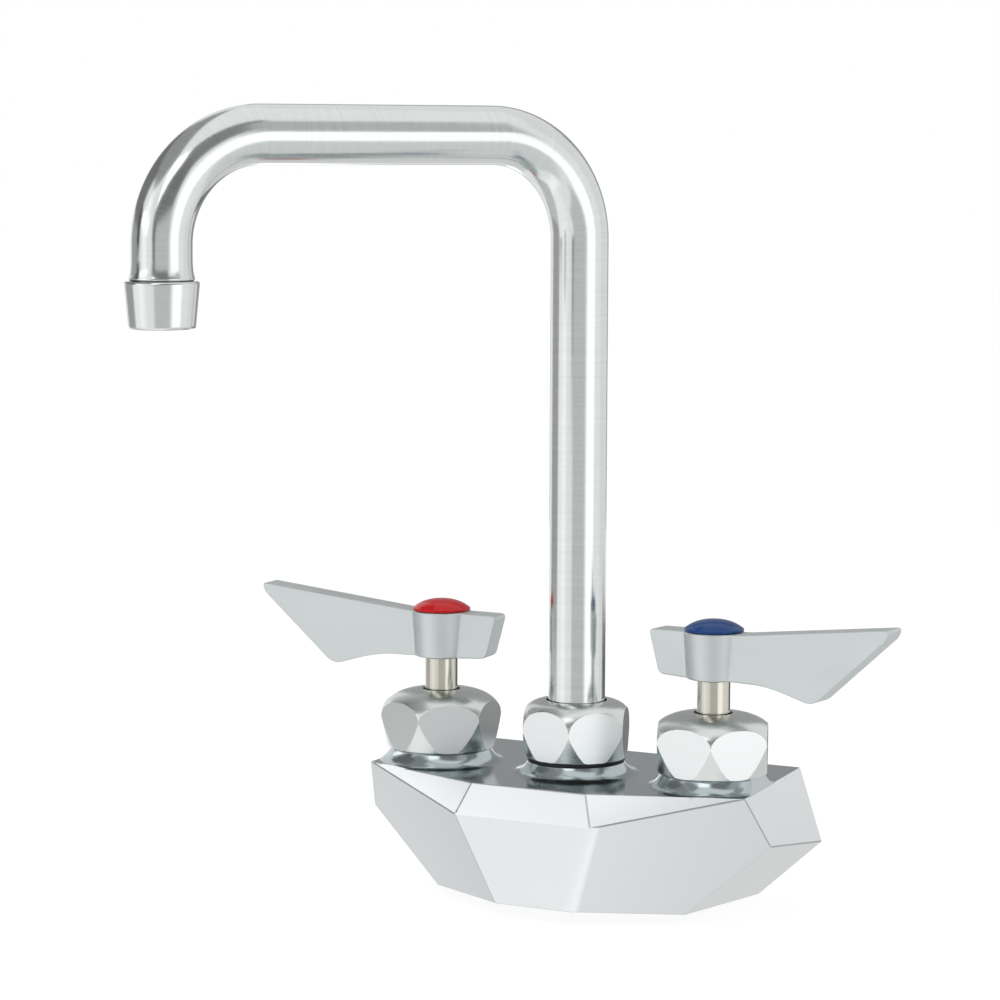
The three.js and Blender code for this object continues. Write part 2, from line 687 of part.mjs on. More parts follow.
// Adds one valve on its axis: what holds it down stands still, and the rest turns with the lever.
// The way is the lever's at rest, and the nut's turn is to the normal of a flat, both in degrees from +X.
function addValve(group, side, x, way, nutTurn, buttonFinish) {
  const fixed = new THREE.Group();
  fixed.position.set(x, -VALVE_OUT, 0);
  const seatSeal = ring(SEAL_BORE_R, SEAL_R, sealZ, sealZ + SEAL_HEIGHT);
  addPart(fixed, `${side}_bonnet_nut`, makeBonnetNut(nutTurn), FINISH.brushedSteel);
  addPart(fixed, `${side}_cartridge_body`, makeCartridgeBody(), FINISH.brass);
  addPart(fixed, `${side}_seat_seal`, seatSeal, FINISH.rubber);
  addPart(fixed, `${side}_fixed_disc`, makeDisc(cupZ, 90), FINISH.ceramic);
  const handle = new THREE.Group();
  handle.position.copy(fixed.position);
  handle.rotation.z = THREE.MathUtils.degToRad(way);
  const stemRing = sealingRing(STEM_R - STEM_RING_R, STEM_RING_R, stemRingZ);
  addPart(handle, `${side}_turning_disc`, makeDisc(turningZ, 0), FINISH.ceramic);
  addPart(handle, `${side}_stem`, makeStem(), FINISH.nickel);
  addPart(handle, `${side}_stem_clip`, makeClip(), FINISH.nickel);
  addPart(handle, `${side}_stem_ring`, stemRing, FINISH.rubber);
  addPart(handle, `${side}_lever`, makeLever(), FINISH.satinSilver);
  addPart(handle, `${side}_handle_screw`, makeHandleScrew(), FINISH.nickel);
  addPart(handle, `${side}_index_button`, makeButton(), buttonFinish);
  group.add(fixed, handle);
}

// ---- Spout -----------------------------------------------------------------------------------

// The centreline of the spout in its own plane: up, over a bend, out along +X, over a bend and down.
// Each straight is one step of t and each bend BEND_STEPS of them, so a sweep spends its rings on bends.
class SpoutLine extends THREE.Curve {
  constructor(foot, outletEnd) {
    super();
    this.stations = [new THREE.Vector3(0, 0, foot)];
    const quarter = (centreX, fromAngle) => {
      for (let i = 0; i <= BEND_STEPS; i += 1) {
        const angle = fromAngle - (i / BEND_STEPS) * (Math.PI / 2);
        const x = centreX + BEND_R * Math.cos(angle);
        this.stations.push(new THREE.Vector3(x, 0, RUN_Z - BEND_R + BEND_R * Math.sin(angle)));
      }
    };
    quarter(BEND_R, Math.PI);
    quarter(SPOUT_REACH - BEND_R, Math.PI / 2);
    this.stations.push(new THREE.Vector3(SPOUT_REACH, 0, outletEnd));
  }

  get steps() {
    return this.stations.length - 1;
  }

  getUtoTmapping(u) {
    return u;
  }

  getPoint(t, target = new THREE.Vector3()) {
    const place = Math.min(t * this.steps, this.steps - 1e-9);
    const index = Math.floor(place);
    return target.lerpVectors(this.stations[index], this.stations[index + 1], place - index);
  }

  // The direction at a station is square to the bend's radius, so neighbouring rings never twist.
  getTangent(t, target = new THREE.Vector3()) {
    const index = Math.round(t * this.steps);
    const turned = THREE.MathUtils.clamp(this.turnAt(index), 0, Math.PI);
    return target.set(Math.sin(turned), 0, Math.cos(turned));
  }

  turnAt(index) {
    const firstBend = THREE.MathUtils.clamp((index - 1) / BEND_STEPS, 0, 1);
    const secondBend = THREE.MathUtils.clamp((index - 2 - BEND_STEPS) / BEND_STEPS, 0, 1);
    return (firstBend + secondBend) * (Math.PI / 2);
  }
}

function makeSpoutTube() {
  const line = new SpoutLine(tubeFoot, ferruleTop + SEAT_CLEAR);
  const section = new THREE.Shape();
  section.absarc(0, 0, TUBE_R, 0, 2 * Math.PI);
  const bore = new THREE.Path();
  bore.absarc(0, 0, TUBE_R - TUBE_WALL, 0, 2 * Math.PI);
  section.holes.push(bore);
  const settings = { steps: line.steps, extrudePath: line, curveSegments: 12 };
  return solid(new THREE.ExtrudeGeometry(section, settings));
}

// The turned sleeve that carries the tube: a plug with two ring grooves under a cup.
function makeSpoutSleeve() {
  const grooveR = sleeveR - 2 * SLEEVE_RING_R - SEAT_CLEAR;
  const grooveHalf = SLEEVE_RING_R + SEAT_CLEAR;
  const grooves = SLEEVE_RINGS_Z.flatMap((z) => [
    [sleeveR, z - grooveHalf],
    [grooveR, z - grooveHalf],
    [grooveR, z + grooveHalf],
    [sleeveR, z + grooveHalf],
  ]);
  const cupFloor = cupTop - CUP_DEPTH;
  return revolve([
    [SLEEVE_BORE_R, SLEEVE_BOTTOM_Z],
    [sleeveR, SLEEVE_BOTTOM_Z],
    ...grooves,
    [sleeveR, spoutNeckTop + SEAT_CLEAR],
    [sleeveCupR, spoutNeckTop + SEAT_CLEAR],
    [sleeveCupR, cupTop],
    [tubeCupR, cupTop],
    [tubeCupR, cupFloor],
    [SLEEVE_BORE_R, cupFloor],
  ], SMALL_ROUND);
}

// The ferrule on the tube's end: a spigot inside the tube, a flared collar and the aerator's thread.
function makeOutletFerrule() {
  const spigotR = TUBE_R - TUBE_WALL - FIT_CLEAR;
  return revolve([
    [FERRULE_BORE_R, ferruleFoot],
    [AERATOR_THREAD_R, ferruleFoot],
    [AERATOR_THREAD_R, flareFoot],
    [FERRULE_FLARE_R - 0.4, flareFoot],
    [FERRULE_FLARE_R, flareFoot + 0.4],
    ...bend([FERRULE_FLARE_R, flareFoot + 0.4], [TUBE_R, flareFoot + 2.6], [TUBE_R, ferruleTop], 3),
    [spigotR, ferruleTop],
    [spigotR, ferruleTop + FERRULE_SPIGOT],
    [FERRULE_BORE_R, ferruleTop + FERRULE_SPIGOT],
  ]);
}

function makeAeratorHousing() {
  const lipTop = outletZ + AERATOR_LIP;
  const threadBore = AERATOR_THREAD_R + FIT_CLEAR;
  const insertBore = INSERT_R + FIT_CLEAR;
  const stepZ = insertZ + INSERT_THICK;
  const lowerEdge = [AERATOR_BASE_R - AERATOR_ROUND, outletZ];
  const roundTop = [AERATOR_BASE_R, outletZ + AERATOR_ROUND];
  return revolve([
    [AERATOR_LIP_R, outletZ],
    lowerEdge,
    ...bend(lowerEdge, [AERATOR_BASE_R, outletZ], roundTop, 3),
    [AERATOR_TOP_R, aeratorTop - 0.5],
    [AERATOR_TOP_R - 0.5, aeratorTop],
    [threadBore, aeratorTop],
    [threadBore, stepZ],
    [insertBore, stepZ],
    [insertBore, lipTop],
    [AERATOR_LIP_R, lipTop],
  ]);
}

// A perforated flow disc: rings of round holes about the middle one.
function makeAeratorInsert() {
  const shape = new THREE.Shape();
  shape.absarc(0, 0, INSERT_R, 0, 2 * Math.PI);
  INSERT_RINGS.forEach((count, ringIndex) => {
    for (let i = 0; i < count; i += 1) {
      const angle = (2 * Math.PI * i) / count;
      const radius = ringIndex * INSERT_PITCH;
      const hole = new THREE.Path();
      hole.absarc(radius * Math.cos(angle), radius * Math.sin(angle), INSERT_HOLE_R, 0, 2 * Math.PI);
      shape.holes.push(hole);
    }
  });
  const settings = { depth: INSERT_THICK, bevelEnabled: false, curveSegments: 3 };
  return solid(new THREE.ExtrudeGeometry(shape, settings).translate(0, 0, insertZ));
}

// Adds everything that swivels, in a group whose +X is the direction of the spout.
function addSpout(group) {
  const spout = new THREE.Group();
  spout.position.y = -SPOUT_OUT;
  spout.rotation.z = THREE.MathUtils.degToRad(-90 - REST_SWIVEL);
  group.add(spout);
  addPart(spout, "spout_tube", makeSpoutTube(), FINISH.brushedSteel);
  addPart(spout, "spout_sleeve", makeSpoutSleeve(), FINISH.brass);
  SLEEVE_RINGS_Z.forEach((z, i) => {
    const name = ["spout_lower_ring", "spout_upper_ring"][i];
    addPart(spout, name, sealingRing(sleeveR - SLEEVE_RING_R, SLEEVE_RING_R, z), FINISH.rubber);
  });
  const outlet = new THREE.Group();
  outlet.position.x = SPOUT_REACH;
  spout.add(outlet);
  const washerTop = aeratorWasherZ + AERATOR_WASHER_THICK;
  const washer = ring(AERATOR_WASHER_BORE_R, AERATOR_THREAD_R, aeratorWasherZ, washerTop);
  addPart(outlet, "outlet_ferrule", makeOutletFerrule(), FINISH.brushedSteel);
  addPart(outlet, "aerator_housing", makeAeratorHousing(), FINISH.brushedSteel);
  addPart(outlet, "aerator_insert", makeAeratorInsert(), FINISH.nylon);
  addPart(outlet, "aerator_washer", washer, FINISH.rubber);
}

// Adds the fixed nut that holds the spout down, with the rings above and below its grip.
function addSpoutNut(group) {
  const axis = new THREE.Group();
  axis.position.y = -SPOUT_OUT;
  group.add(axis);
  const gasket = ring(SPOUT_NECK_R + FIT_CLEAR, GASKET_R, gasketZ, gasketZ + GASKET_THICK);
  const thrust = ring(TUBE_R + SPOUT_NUT_HOLE_CLEAR, sleeveCupR, thrustZ, thrustZ + THRUST_THICK);
  addPart(axis, "spout_nut", makeSpoutNut(), FINISH.brushedSteel);
  addPart(axis, "spout_nut_gasket", gasket, FINISH.rubber);
  addPart(axis, "spout_thrust_washer", thrust, FINISH.nylon);
}

// ---- Assembly --------------------------------------------------------------------------------

const group = new THREE.Group();
addPart(group, "body", makeBody(), FINISH.castSteel);
addValve(group, "hot", -CENTRES / 2, 180 + HOT_LEVER_TURN, HOT_BONNET_TURN, FINISH.hotRed);
addValve(group, "cold", CENTRES / 2, -COLD_LEVER_TURN, COLD_BONNET_TURN, FINISH.coldBlue);
addSpoutNut(group);
addSpout(group);

export default group;
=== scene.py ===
"""A commercial wall faucet, dressed over its CAD frame: faceted body, two lever valves and a swivel spout."""

import logging
import math
from dataclasses import dataclass
from enum import Enum
from functools import cache, cached_property
from typing import Callable, Sequence

import bmesh
import bpy
from mathutils import Matrix, Vector


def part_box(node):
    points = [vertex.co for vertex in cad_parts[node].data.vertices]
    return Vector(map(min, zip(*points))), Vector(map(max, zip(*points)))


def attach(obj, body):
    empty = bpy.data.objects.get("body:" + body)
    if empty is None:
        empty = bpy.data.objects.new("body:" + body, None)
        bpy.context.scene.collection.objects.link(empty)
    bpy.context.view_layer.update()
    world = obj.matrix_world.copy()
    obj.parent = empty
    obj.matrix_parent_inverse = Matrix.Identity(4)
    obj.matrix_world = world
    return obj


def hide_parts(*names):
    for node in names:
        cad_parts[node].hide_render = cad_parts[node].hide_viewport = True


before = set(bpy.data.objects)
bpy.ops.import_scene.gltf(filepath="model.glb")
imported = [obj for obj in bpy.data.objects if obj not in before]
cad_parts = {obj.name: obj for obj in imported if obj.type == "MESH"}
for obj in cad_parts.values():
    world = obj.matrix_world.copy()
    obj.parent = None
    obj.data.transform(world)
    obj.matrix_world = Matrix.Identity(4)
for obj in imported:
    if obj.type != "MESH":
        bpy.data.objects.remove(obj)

log = logging.getLogger("faucet")

MM = 0.001
UP = Vector((0, 0, 1))
SAME_WAY = 0.9999  # the cosine above which two normals count as parallel
MERGE = 1e-6  # the distance, in metres, under which two points are one
Point2 = tuple[float, float]
Point3 = tuple[float, float, float]
Plane = tuple[Vector, Vector]
Edge = bmesh.types.BMEdge
Face = bmesh.types.BMFace
FaceRule = Callable[[Face], bool]
Material = bpy.types.Material
Socket = bpy.types.NodeSocket


class Grain(Enum):
    """How a metal surface was finished, which sets the way its fine lines run."""

    LEVEL = "level"
    TURNED = "turned"
    SWEPT = "swept"


class Side(Enum):
    """The two valves, with what differs between them at rest."""

    HOT = ("hot", -1, 4.0, 6.7)
    COLD = ("cold", 1, 5.9, 22.3)

    def __init__(self, word: str, way: int, lever_turn: float, nut_turn: float) -> None:
        """Names a side's word, its way (-1 is left), and the turns of its lever and nut in degrees."""
        self.word, self.way, self.lever_turn, self.nut_turn = word, way, lever_turn, nut_turn

    @property
    def heading(self) -> float:
        """Where the lever's blade points at rest, in radians from +X."""
        return math.radians(180 + self.lever_turn if self.way < 0 else -self.lever_turn)

    def node(self, part: str) -> str:
        """The name of this side's node of a part."""
        return f"{self.word}_{part}"


# ---- Lines and levels ----


def curve(points: Sequence[Point2], steps: int) -> list[Point2]:
    """Points along a Bezier curve of any order.

    Args:
        points: Its start, control points and end.
        steps: How many pieces it is drawn in.

    Returns:
        The points after the start, with the end last.
    """
    order = len(points) - 1
    drawn = []
    for i in range(1, steps + 1):
        t = i / steps
        weights = [math.comb(order, k) * t**k * (1 - t) ** (order - k) for k in range(order + 1)]
        drawn.append(tuple(sum(w * p[c] for w, p in zip(weights, points)) for c in (0, 1)))
    return drawn


def bend(start: Point2, corner: Point2, end: Point2, steps: int = 4) -> list[Point2]:
    """The points of a rounded corner, from its start to its end."""
    return [start, *curve([start, corner, end], steps)]


def rounded(corners: Sequence[Point3], steps: int) -> list[Point2]:
    """A closed outline whose corners are rounded.

    Args:
        corners: The x, y and rounding reach of each corner.
        steps: How many pieces a rounding is drawn in.

    Returns:
        The points of the outline, in order.
    """
    outline = []
    for i, (x, y, reach) in enumerate(corners):
        corner = Vector((x, y))
        before = Vector(corners[i - 1][:2]) - corner
        after = Vector(corners[(i + 1) % len(corners)][:2]) - corner
        reach = min(reach, before.length / 2, after.length / 2)
        if reach == 0:
            outline.append((x, y))
        else:
            ends = [tuple(corner + way.normalized() * reach) for way in (before, after)]
            outline += bend(ends[0], (x, y), ends[1], steps)
    return outline


def levels(node: str) -> list[float]:
    """The bottom and the top of a CAD node, in millimetres."""
    return [corner.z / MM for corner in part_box(node)]


# ---- The bench ----


def clear() -> None:
    """Goes back to object mode and deselects everything."""
    if bpy.context.mode != "OBJECT":
        bpy.ops.object.mode_set(mode="OBJECT")
    bpy.ops.object.select_all(action="DESELECT")


class Work:
    """One piece on the bench, shaped with Blender's own tools, with sizes in millimetres."""

    def __init__(self, name: str, add: Callable[..., set[str]], **settings: object) -> None:
        """Starts a piece from a primitive, with its place in its mesh.

        Args:
            name: The name of the piece.
            add: The operator that adds the primitive.
            **settings: What the operator is told, in metres.
        """
        clear()
        add(**settings)
        self.object = bpy.context.active_object
        self.object.name = self.object.data.name = name
        self.settle()

    @classmethod
    def box(cls, name: str, centre: Point3, size: Point3) -> "Work":
        """Starts a piece as a block."""
        place = [c * MM for c in centre]
        return cls(name, bpy.ops.mesh.primitive_cube_add, size=MM, location=place, scale=size)

    @classmethod
    def drawn(cls, name: str, path: Sequence[Point3], closed: bool) -> "Work":
        """Draws a line from point to point.

        Args:
            name: The name of the piece.
            path: The points.
            closed: Whether the last point joins the first.

        Returns:
            The piece, open in edit mode and all selected.
        """
        start = [c * MM for c in path[0]]
        piece = cls(name, bpy.ops.mesh.primitive_plane_add, size=MM, location=start)
        piece.open_all()
        bpy.ops.mesh.merge(type="CENTER")
        route = [Vector(point) for point in ([*path, path[0]] if closed else path)]
        for here, there in zip(route, route[1:]):
            step = (there - here) * MM
            bpy.ops.mesh.extrude_vertices_move(TRANSFORM_OT_translate={"value": step})
        bpy.ops.mesh.select_all(action="SELECT")
        if closed:
            bpy.ops.mesh.remove_doubles(threshold=MERGE)
        return piece

    @classmethod
    def turned(
        cls, name: str, profile: Sequence[Point2], axis: Point2 = (0.0, 0.0), steps: int = 96
    ) -> "Work":
        """Turns a profile a full round about an upright axis, as on a lathe.

        Args:
            name: The name of the piece.
            profile: Points of radius and height. It ends on the axis at both ends, or closes on itself.
            axis: Where the axis stands.
            steps: How many flats make the round.

        Returns:
            The closed piece, in object mode.
        """
        path = [(axis[0] + radius, axis[1], height) for radius, height in profile]
        piece = cls.drawn(name, path, profile[0][0] > 0 or profile[-1][0] > 0)
        centre = (axis[0] * MM, axis[1] * MM, 0.0)
        bpy.ops.mesh.spin(steps=steps, angle=2 * math.pi, center=centre, axis=UP)
        piece.tidy()
        return piece

    def take(self) -> None:
        """Makes this the only selected and active piece."""
        clear()
        self.object.select_set(True)
        bpy.context.view_layer.objects.active = self.object

    def settle(self) -> None:
        """Puts the object's place into its mesh, so that the object sits at the origin."""
        self.take()
        bpy.ops.object.transform_apply(location=True, rotation=True, scale=True)

    def move(self, place: Matrix) -> None:
        """Moves and turns the piece with its mesh."""
        self.object.matrix_world = place
        self.settle()

    def swivel(self, axis: Point2, angle: float) -> None:
        """Turns the piece about an upright axis, by an angle in radians seen from above."""
        centre = Vector((*axis, 0)) * MM
        self.move(Matrix.Translation(centre) @ Matrix.Rotation(angle, 4, "Z") @ Matrix.Translation(-centre))

    def open(self) -> None:
        """Opens the piece in edit mode with none of its mesh selected."""
        self.take()
        bpy.ops.object.mode_set(mode="EDIT")
        bpy.ops.mesh.select_mode(type="VERT")
        bpy.ops.mesh.select_all(action="DESELECT")

    def open_all(self) -> None:
        """Opens the piece in edit mode with all of its mesh selected."""
        self.open()
        bpy.ops.mesh.select_all(action="SELECT")

    def pick(self, kind: str, rule: Callable[[Edge | Face], bool]) -> None:
        """Selects the edges or faces that follow a rule, in edit mode.

        Args:
            kind: EDGE or FACE.
            rule: Says of an edge or face whether it is wanted.
        """
        bpy.ops.mesh.select_mode(type=kind)
        bpy.ops.mesh.select_all(action="DESELECT")
        mesh = bmesh.from_edit_mesh(self.object.data)
        for part in list(filter(rule, mesh.edges if kind == "EDGE" else mesh.faces)):
            part.select_set(True)
        bmesh.update_edit_mesh(self.object.data)

    def ease(self, width: float, segments: int = 3) -> None:
        """Rounds the edges that are selected in edit mode, over a width in some segments."""
        bpy.ops.mesh.bevel(
            offset=width * MM, segments=segments, affect="EDGES", clamp_overlap=True, loop_slide=True
        )

    def tidy(self) -> None:
        """Merges doubles, drops slivers, turns all faces outwards and leaves edit mode."""
        bpy.ops.mesh.select_all(action="SELECT")
        bpy.ops.mesh.remove_doubles(threshold=2 * MERGE)
        bpy.ops.mesh.dissolve_degenerate(threshold=MERGE)
        bpy.ops.mesh.normals_make_consistent(inside=False)
        clear()

    def cut(self, place: Vector, normal: Vector) -> None:
        """Saws off what lies where a plane's normal points, closes the cut and stays in edit mode."""
        self.open_all()
        bpy.ops.mesh.bisect(
            plane_co=place * MM, plane_no=normal, use_fill=True, clear_outer=True, threshold=MERGE
        )

    def modify(self, kind: str, **settings: object) -> None:
        """Adds a modifier with its settings and applies it.

        Args:
            kind: The modifier's type.
            **settings: Its properties.
        """
        self.take()
        modifier = self.object.modifiers.new(kind.lower(), kind)
        for key, value in settings.items():
            setattr(modifier, key, value)
        bpy.ops.object.modifier_apply(modifier=modifier.name)

    def join(self, other: "Work", how: str = "UNION") -> None:
        """Joins another piece to this one, and uses it up."""
        self.modify("BOOLEAN", operation=how, solver="EXACT", object=other.object)
        bpy.data.objects.remove(other.object)

    def drill(self, other: "Work") -> None:
        """Takes another piece out of this one, and uses it up."""
        self.join(other, "DIFFERENCE")

    def dress(
        self,
        node: str,
        body: str,
        slot: str,
        finish: Material,
        angle: float = 40,
        spots: Sequence[tuple[Material, FaceRule]] = (),
    ) -> None:
        """Shades and paints the finished piece, and lets it stand for its CAD node.

        Args:
            node: The CAD node that it replaces.
            body: The moving body that it rides on.
            slot: What it is made of; not used.
            finish: The finish all over.
            angle: Edges sharper than this, in degrees, stay sharp.
            spots: More finishes, each with a rule that says of a face whether it gets that one.
        """
        self.take()
        bpy.ops.object.shade_smooth_by_angle(angle=math.radians(angle), keep_sharp_edges=True)
        self.modify("WEIGHTED_NORMAL", keep_sharp=True, weight=50)
        coats = self.object.data.materials
        coats.clear()
        coats.append(finish)
        for spot, rule in spots:
            coats.append(spot)
            self.open()
            self.pick("FACE", rule)
            self.object.active_material_index = len(coats) - 1
            bpy.ops.object.material_slot_assign()
            clear()
        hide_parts(node)
        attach(self.object, body)
        log.info("built %s", node)


# ---- Finishes ----


class NodeSheet:
    """The nodes of one material, or of the world, each added with what feeds it."""

    def __init__(self, owner: Material | bpy.types.World) -> None:
        """Starts the nodes.

        Args:
            owner: What they belong to.
        """
        self.owner = owner
        owner.use_nodes = True
        self.tree = owner.node_tree

    def feed(self, node: bpy.types.Node, inputs: dict[str | int, object]) -> None:
        """Links a node's inputs, or sets their plain values.

        Args:
            node: The node.
            inputs: A socket or a value for each input, by its name or number.
        """
        for key, value in inputs.items():
            if isinstance(value, Socket):
                self.tree.links.new(value, node.inputs[key])
            else:
                node.inputs[key].default_value = value

    def add(
        self, kind: str, output: str, inputs: dict[str | int, object] | None = None, **settings: object
    ) -> Socket:
        """Adds a node.

        Args:
            kind: The node's type.
            output: The name of the output that is wanted.
            inputs: What feeds it.
            **settings: Its properties.

        Returns:
            That output.
        """
        node = self.tree.nodes.new(kind)
        for key, value in settings.items():
            setattr(node, key, value)
        self.feed(node, inputs or {})
        return node.outputs[output]

    def shade(self, **inputs: object) -> None:
        """Feeds the shader, with underscores for the spaces in an input's name."""
        named = {key.replace("_", " "): value for key, value in inputs.items()}
        self.feed(self.tree.nodes["Principled BSDF"], named)

    def show(self, surface: Socket) -> None:
        """Shows another shader on the surface in place of the usual one."""
        self.feed(self.tree.nodes["Material Output"], {"Surface": surface})

    def maths(self, operation: str, first: Socket, second: Socket | float) -> Socket:
        """The result of one step of arithmetic."""
        return self.add("ShaderNodeMath", "Value", {0: first, 1: second}, operation=operation)

    def place(self, centre: Point3 = (0.0, 0.0, 0.0)) -> Socket:
        """The place on the piece in metres.

        Args:
            centre: What it is measured from, in millimetres.

        Returns:
            The place.
        """
        spot = self.add("ShaderNodeTexCoord", "Object")
        inputs = {"Location": [-c * MM for c in centre], "Vector": spot}
        return self.add("ShaderNodeMapping", "Vector", inputs)

    def stretch(self, vector: Socket, scale: Point3) -> Socket:
        """A vector that is scaled along each axis."""
        return self.add("ShaderNodeVectorMath", "Vector", {0: vector, 1: scale}, operation="MULTIPLY")

    def noise(self, vector: Socket, scale: float, detail: float) -> Socket:
        """An even noise from about 0.2 to 0.8, with a number of octaves."""
        inputs = {"Scale": scale, "Detail": detail, "Roughness": 0.6, "Vector": vector}
        return self.add("ShaderNodeTexNoise", "Fac", inputs)

    def spread(self, noise: Socket, low: float, high: float) -> Socket:
        """A noise that is mapped onto a range."""
        inputs = {"From Min": 0.25, "From Max": 0.75, "To Min": low, "To Max": high, "Value": noise}
        return self.add("ShaderNodeMapRange", "Result", inputs)

    def tint(self, factor: Socket, colour: Point3, drift: float) -> Socket:
        """A colour that drifts by a share each way, and is darkest where a factor is 0."""
        ends = [(*(min(1.0, c * (1 + way * drift)) for c in colour), 1) for way in (-1, 1)]
        inputs = {"A": ends[0], "B": ends[1], "Factor": factor}
        return self.add("ShaderNodeMix", "Result", inputs, data_type="RGBA")

    def relief(self, height: Socket, depth: float, strength: float) -> None:
        """Raises the surface by a pattern, on top of any relief given before.

        Args:
            height: The pattern.
            depth: How deep it is, in millimetres.
            strength: How strongly it shows.
        """
        inputs = {"Distance": depth * MM, "Strength": strength, "Height": height}
        normal = self.tree.nodes["Principled BSDF"].inputs["Normal"]
        if normal.is_linked:
            inputs["Normal"] = normal.links[0].from_socket
        self.shade(Normal=self.add("ShaderNodeBump", "Normal", inputs))


@dataclass(frozen=True)
class WorkedMetal:
    """A bare metal that was brushed flat, turned or polished round a tube."""

    name: str
    colour: Point3
    roughness: float
    contrast: float = 0.06
    relief: float = 0.02
    vary: float = 0.03
    grain: Grain = Grain.LEVEL
    fine: float = 2600.0
    run: float = 45.0
    axis: Point2 = (0.0, 0.0)
    line_share: float = 0.62
    broad_scale: float = 0.31
    cloud_scale: float = 38.0
    line_strength: float = 0.5
    cloud_depth: float = 0.05
    cloud_strength: float = 0.06

    def lines(self, sheet: NodeSheet) -> Socket:
        """The place on the surface, stretched so that a noise on it becomes fine lines.

        Args:
            sheet: The material's nodes.

        Returns:
            A vector that runs fast across the lines and slowly along them.
        """
        if self.grain is Grain.SWEPT:
            along = sheet.add("ShaderNodeAttribute", "Vector", attribute_name="along_tube")
            return sheet.stretch(along, (self.fine, self.run, self.run))
        place = sheet.place((*self.axis, 0.0))
        if self.grain is Grain.LEVEL:
            return sheet.stretch(place, (self.run, self.run, self.fine))
        flat = sheet.stretch(place, (1, 1, 0))
        radius = sheet.add("ShaderNodeVectorMath", "Value", {0: flat}, operation="LENGTH")
        height = sheet.add("ShaderNodeSeparateXYZ", "Z", {0: place})
        ring = sheet.add("ShaderNodeCombineXYZ", "Vector", {"X": radius, "Y": height})
        across = sheet.stretch(ring, (self.fine, self.fine, 0))
        slow = sheet.stretch(place, (self.run, self.run, 0))
        return sheet.add("ShaderNodeVectorMath", "Vector", {0: across, 1: slow}, operation="ADD")

    def material(self) -> Material:
        """Makes the material: fine lines in colour, gloss and relief, and slow clouds over them.

        Returns:
            The material.
        """
        sheet = NodeSheet(bpy.data.materials.new(self.name))
        vector = self.lines(sheet)
        lines = sheet.noise(vector, 1.0, 4.0)
        broad = sheet.noise(vector, self.broad_scale, 2.0)
        clouds = sheet.noise(sheet.place(), self.cloud_scale, 2.0)
        fine_part = sheet.spread(lines, 0.0, self.line_share)
        streaks = sheet.maths("ADD", fine_part, sheet.spread(broad, 0.0, 1 - self.line_share))
        level = sheet.spread(clouds, self.roughness - self.vary, self.roughness + self.vary)
        gloss = sheet.maths("ADD", sheet.spread(lines, -self.vary, self.vary), level)
        sheet.shade(Metallic=1.0, Base_Color=sheet.tint(streaks, self.colour, self.contrast), Roughness=gloss)
        sheet.relief(lines, self.relief, self.line_strength)
        sheet.relief(clouds, self.cloud_depth, self.cloud_strength)
        return sheet.owner


@dataclass(frozen=True)
class Moulded:
    """A plain material that came out of a mould or a kiln, with a fine grain and slow clouds."""

    name: str
    colour: Point3
    roughness: float
    grain: float
    depth: float
    drift: float = 0.06
    ior: float = 1.5
    cloud_scale: float = 60.0
    gloss_drift: float = 0.15
    strength: float = 0.4

    def material(self) -> Material:
        """Makes the material.

        Returns:
            The material.
        """
        sheet = NodeSheet(bpy.data.materials.new(self.name))
        place = sheet.place()
        grain = sheet.noise(place, self.grain, 2.0)
        clouds = sheet.noise(place, self.cloud_scale, 3.0)
        dull, shiny = (self.roughness * (1 + way * self.gloss_drift) for way in (1, -1))
        colour = sheet.tint(clouds, self.colour, self.drift)
        sheet.shade(IOR=self.ior, Base_Color=colour, Roughness=sheet.spread(grain, shiny, dull))
        sheet.relief(grain, self.depth, self.strength)
        return sheet.owner


STEEL = (0.7, 0.73, 0.715)
NICKEL = (0.62, 0.60, 0.53)
FINISHES = (
    WorkedMetal("brushed_facets", (0.75, 0.775, 0.78), 0.26, contrast=0.006, relief=0.0001, vary=0.006),
    # satin finish on the top and bosses, with a darker colour than the facets that is painted shade
    WorkedMetal("satin_top_painted_shade", (0.47, 0.53, 0.55), 0.16, contrast=0.02, relief=0.001),
    # painted highlight: a pale copy of the metal for the nuts' narrow eased edges
    WorkedMetal("painted_edge_highlights", (0.92, 0.93, 0.93), 0.42, contrast=0.02, relief=0.0001),
    # painted shade: a dark copy of the metal for thin lines along the eased creases between facets
    WorkedMetal("crease_painted_shade", (0.46, 0.48, 0.49), 0.3, contrast=0.05, relief=0.0001, vary=0.01),
    WorkedMetal("polished_tube", STEEL, 0.17, relief=0.0015, grain=Grain.SWEPT, fine=1500),
    WorkedMetal("brushed_flats", (0.75, 0.775, 0.775), 0.28, contrast=0.015, relief=0.00008, vary=0.006),
    WorkedMetal("satin_lever", (0.655, 0.69, 0.69), 0.5, contrast=0.025, relief=0.002),
    WorkedMetal("turned_brass", (0.6, 0.46, 0.2), 0.3),
    WorkedMetal("spring_steel", (0.5, 0.5, 0.5), 0.25),
    Moulded("black_rubber", (0.012, 0.012, 0.013), 0.62, grain=1500, depth=0.03),
    Moulded("ceramic", (0.86, 0.85, 0.8), 0.18, grain=600, depth=0.004, drift=0.02),
    Moulded("white_nylon", (0.78, 0.77, 0.72), 0.42, grain=700, depth=0.02, drift=0.03),
    Moulded("red_enamel", (0.52, 0.003, 0.006), 0.08, grain=300, depth=0.003, drift=0.05, ior=1.34),
    Moulded("blue_enamel", (0.004, 0.045, 0.18), 0.08, grain=300, depth=0.003, drift=0.05, ior=1.34),
)


@cache
def shared(name: str) -> Material:
    """The material of a finish that pieces share, made once."""
    return next(finish for finish in FINISHES if finish.name == name).material()


def lathe(name: str, axis: Point2, roughness: float = 0.26, colour: Point3 = STEEL) -> Material:
    """The material of a piece that was turned round an upright axis."""
    look = {"contrast": 0.03, "relief": 0.001, "vary": 0.015, "fine": 1900, "run": 40}
    return WorkedMetal(name, colour, roughness, grain=Grain.TURNED, axis=axis, **look).material()


# ---- Body ----


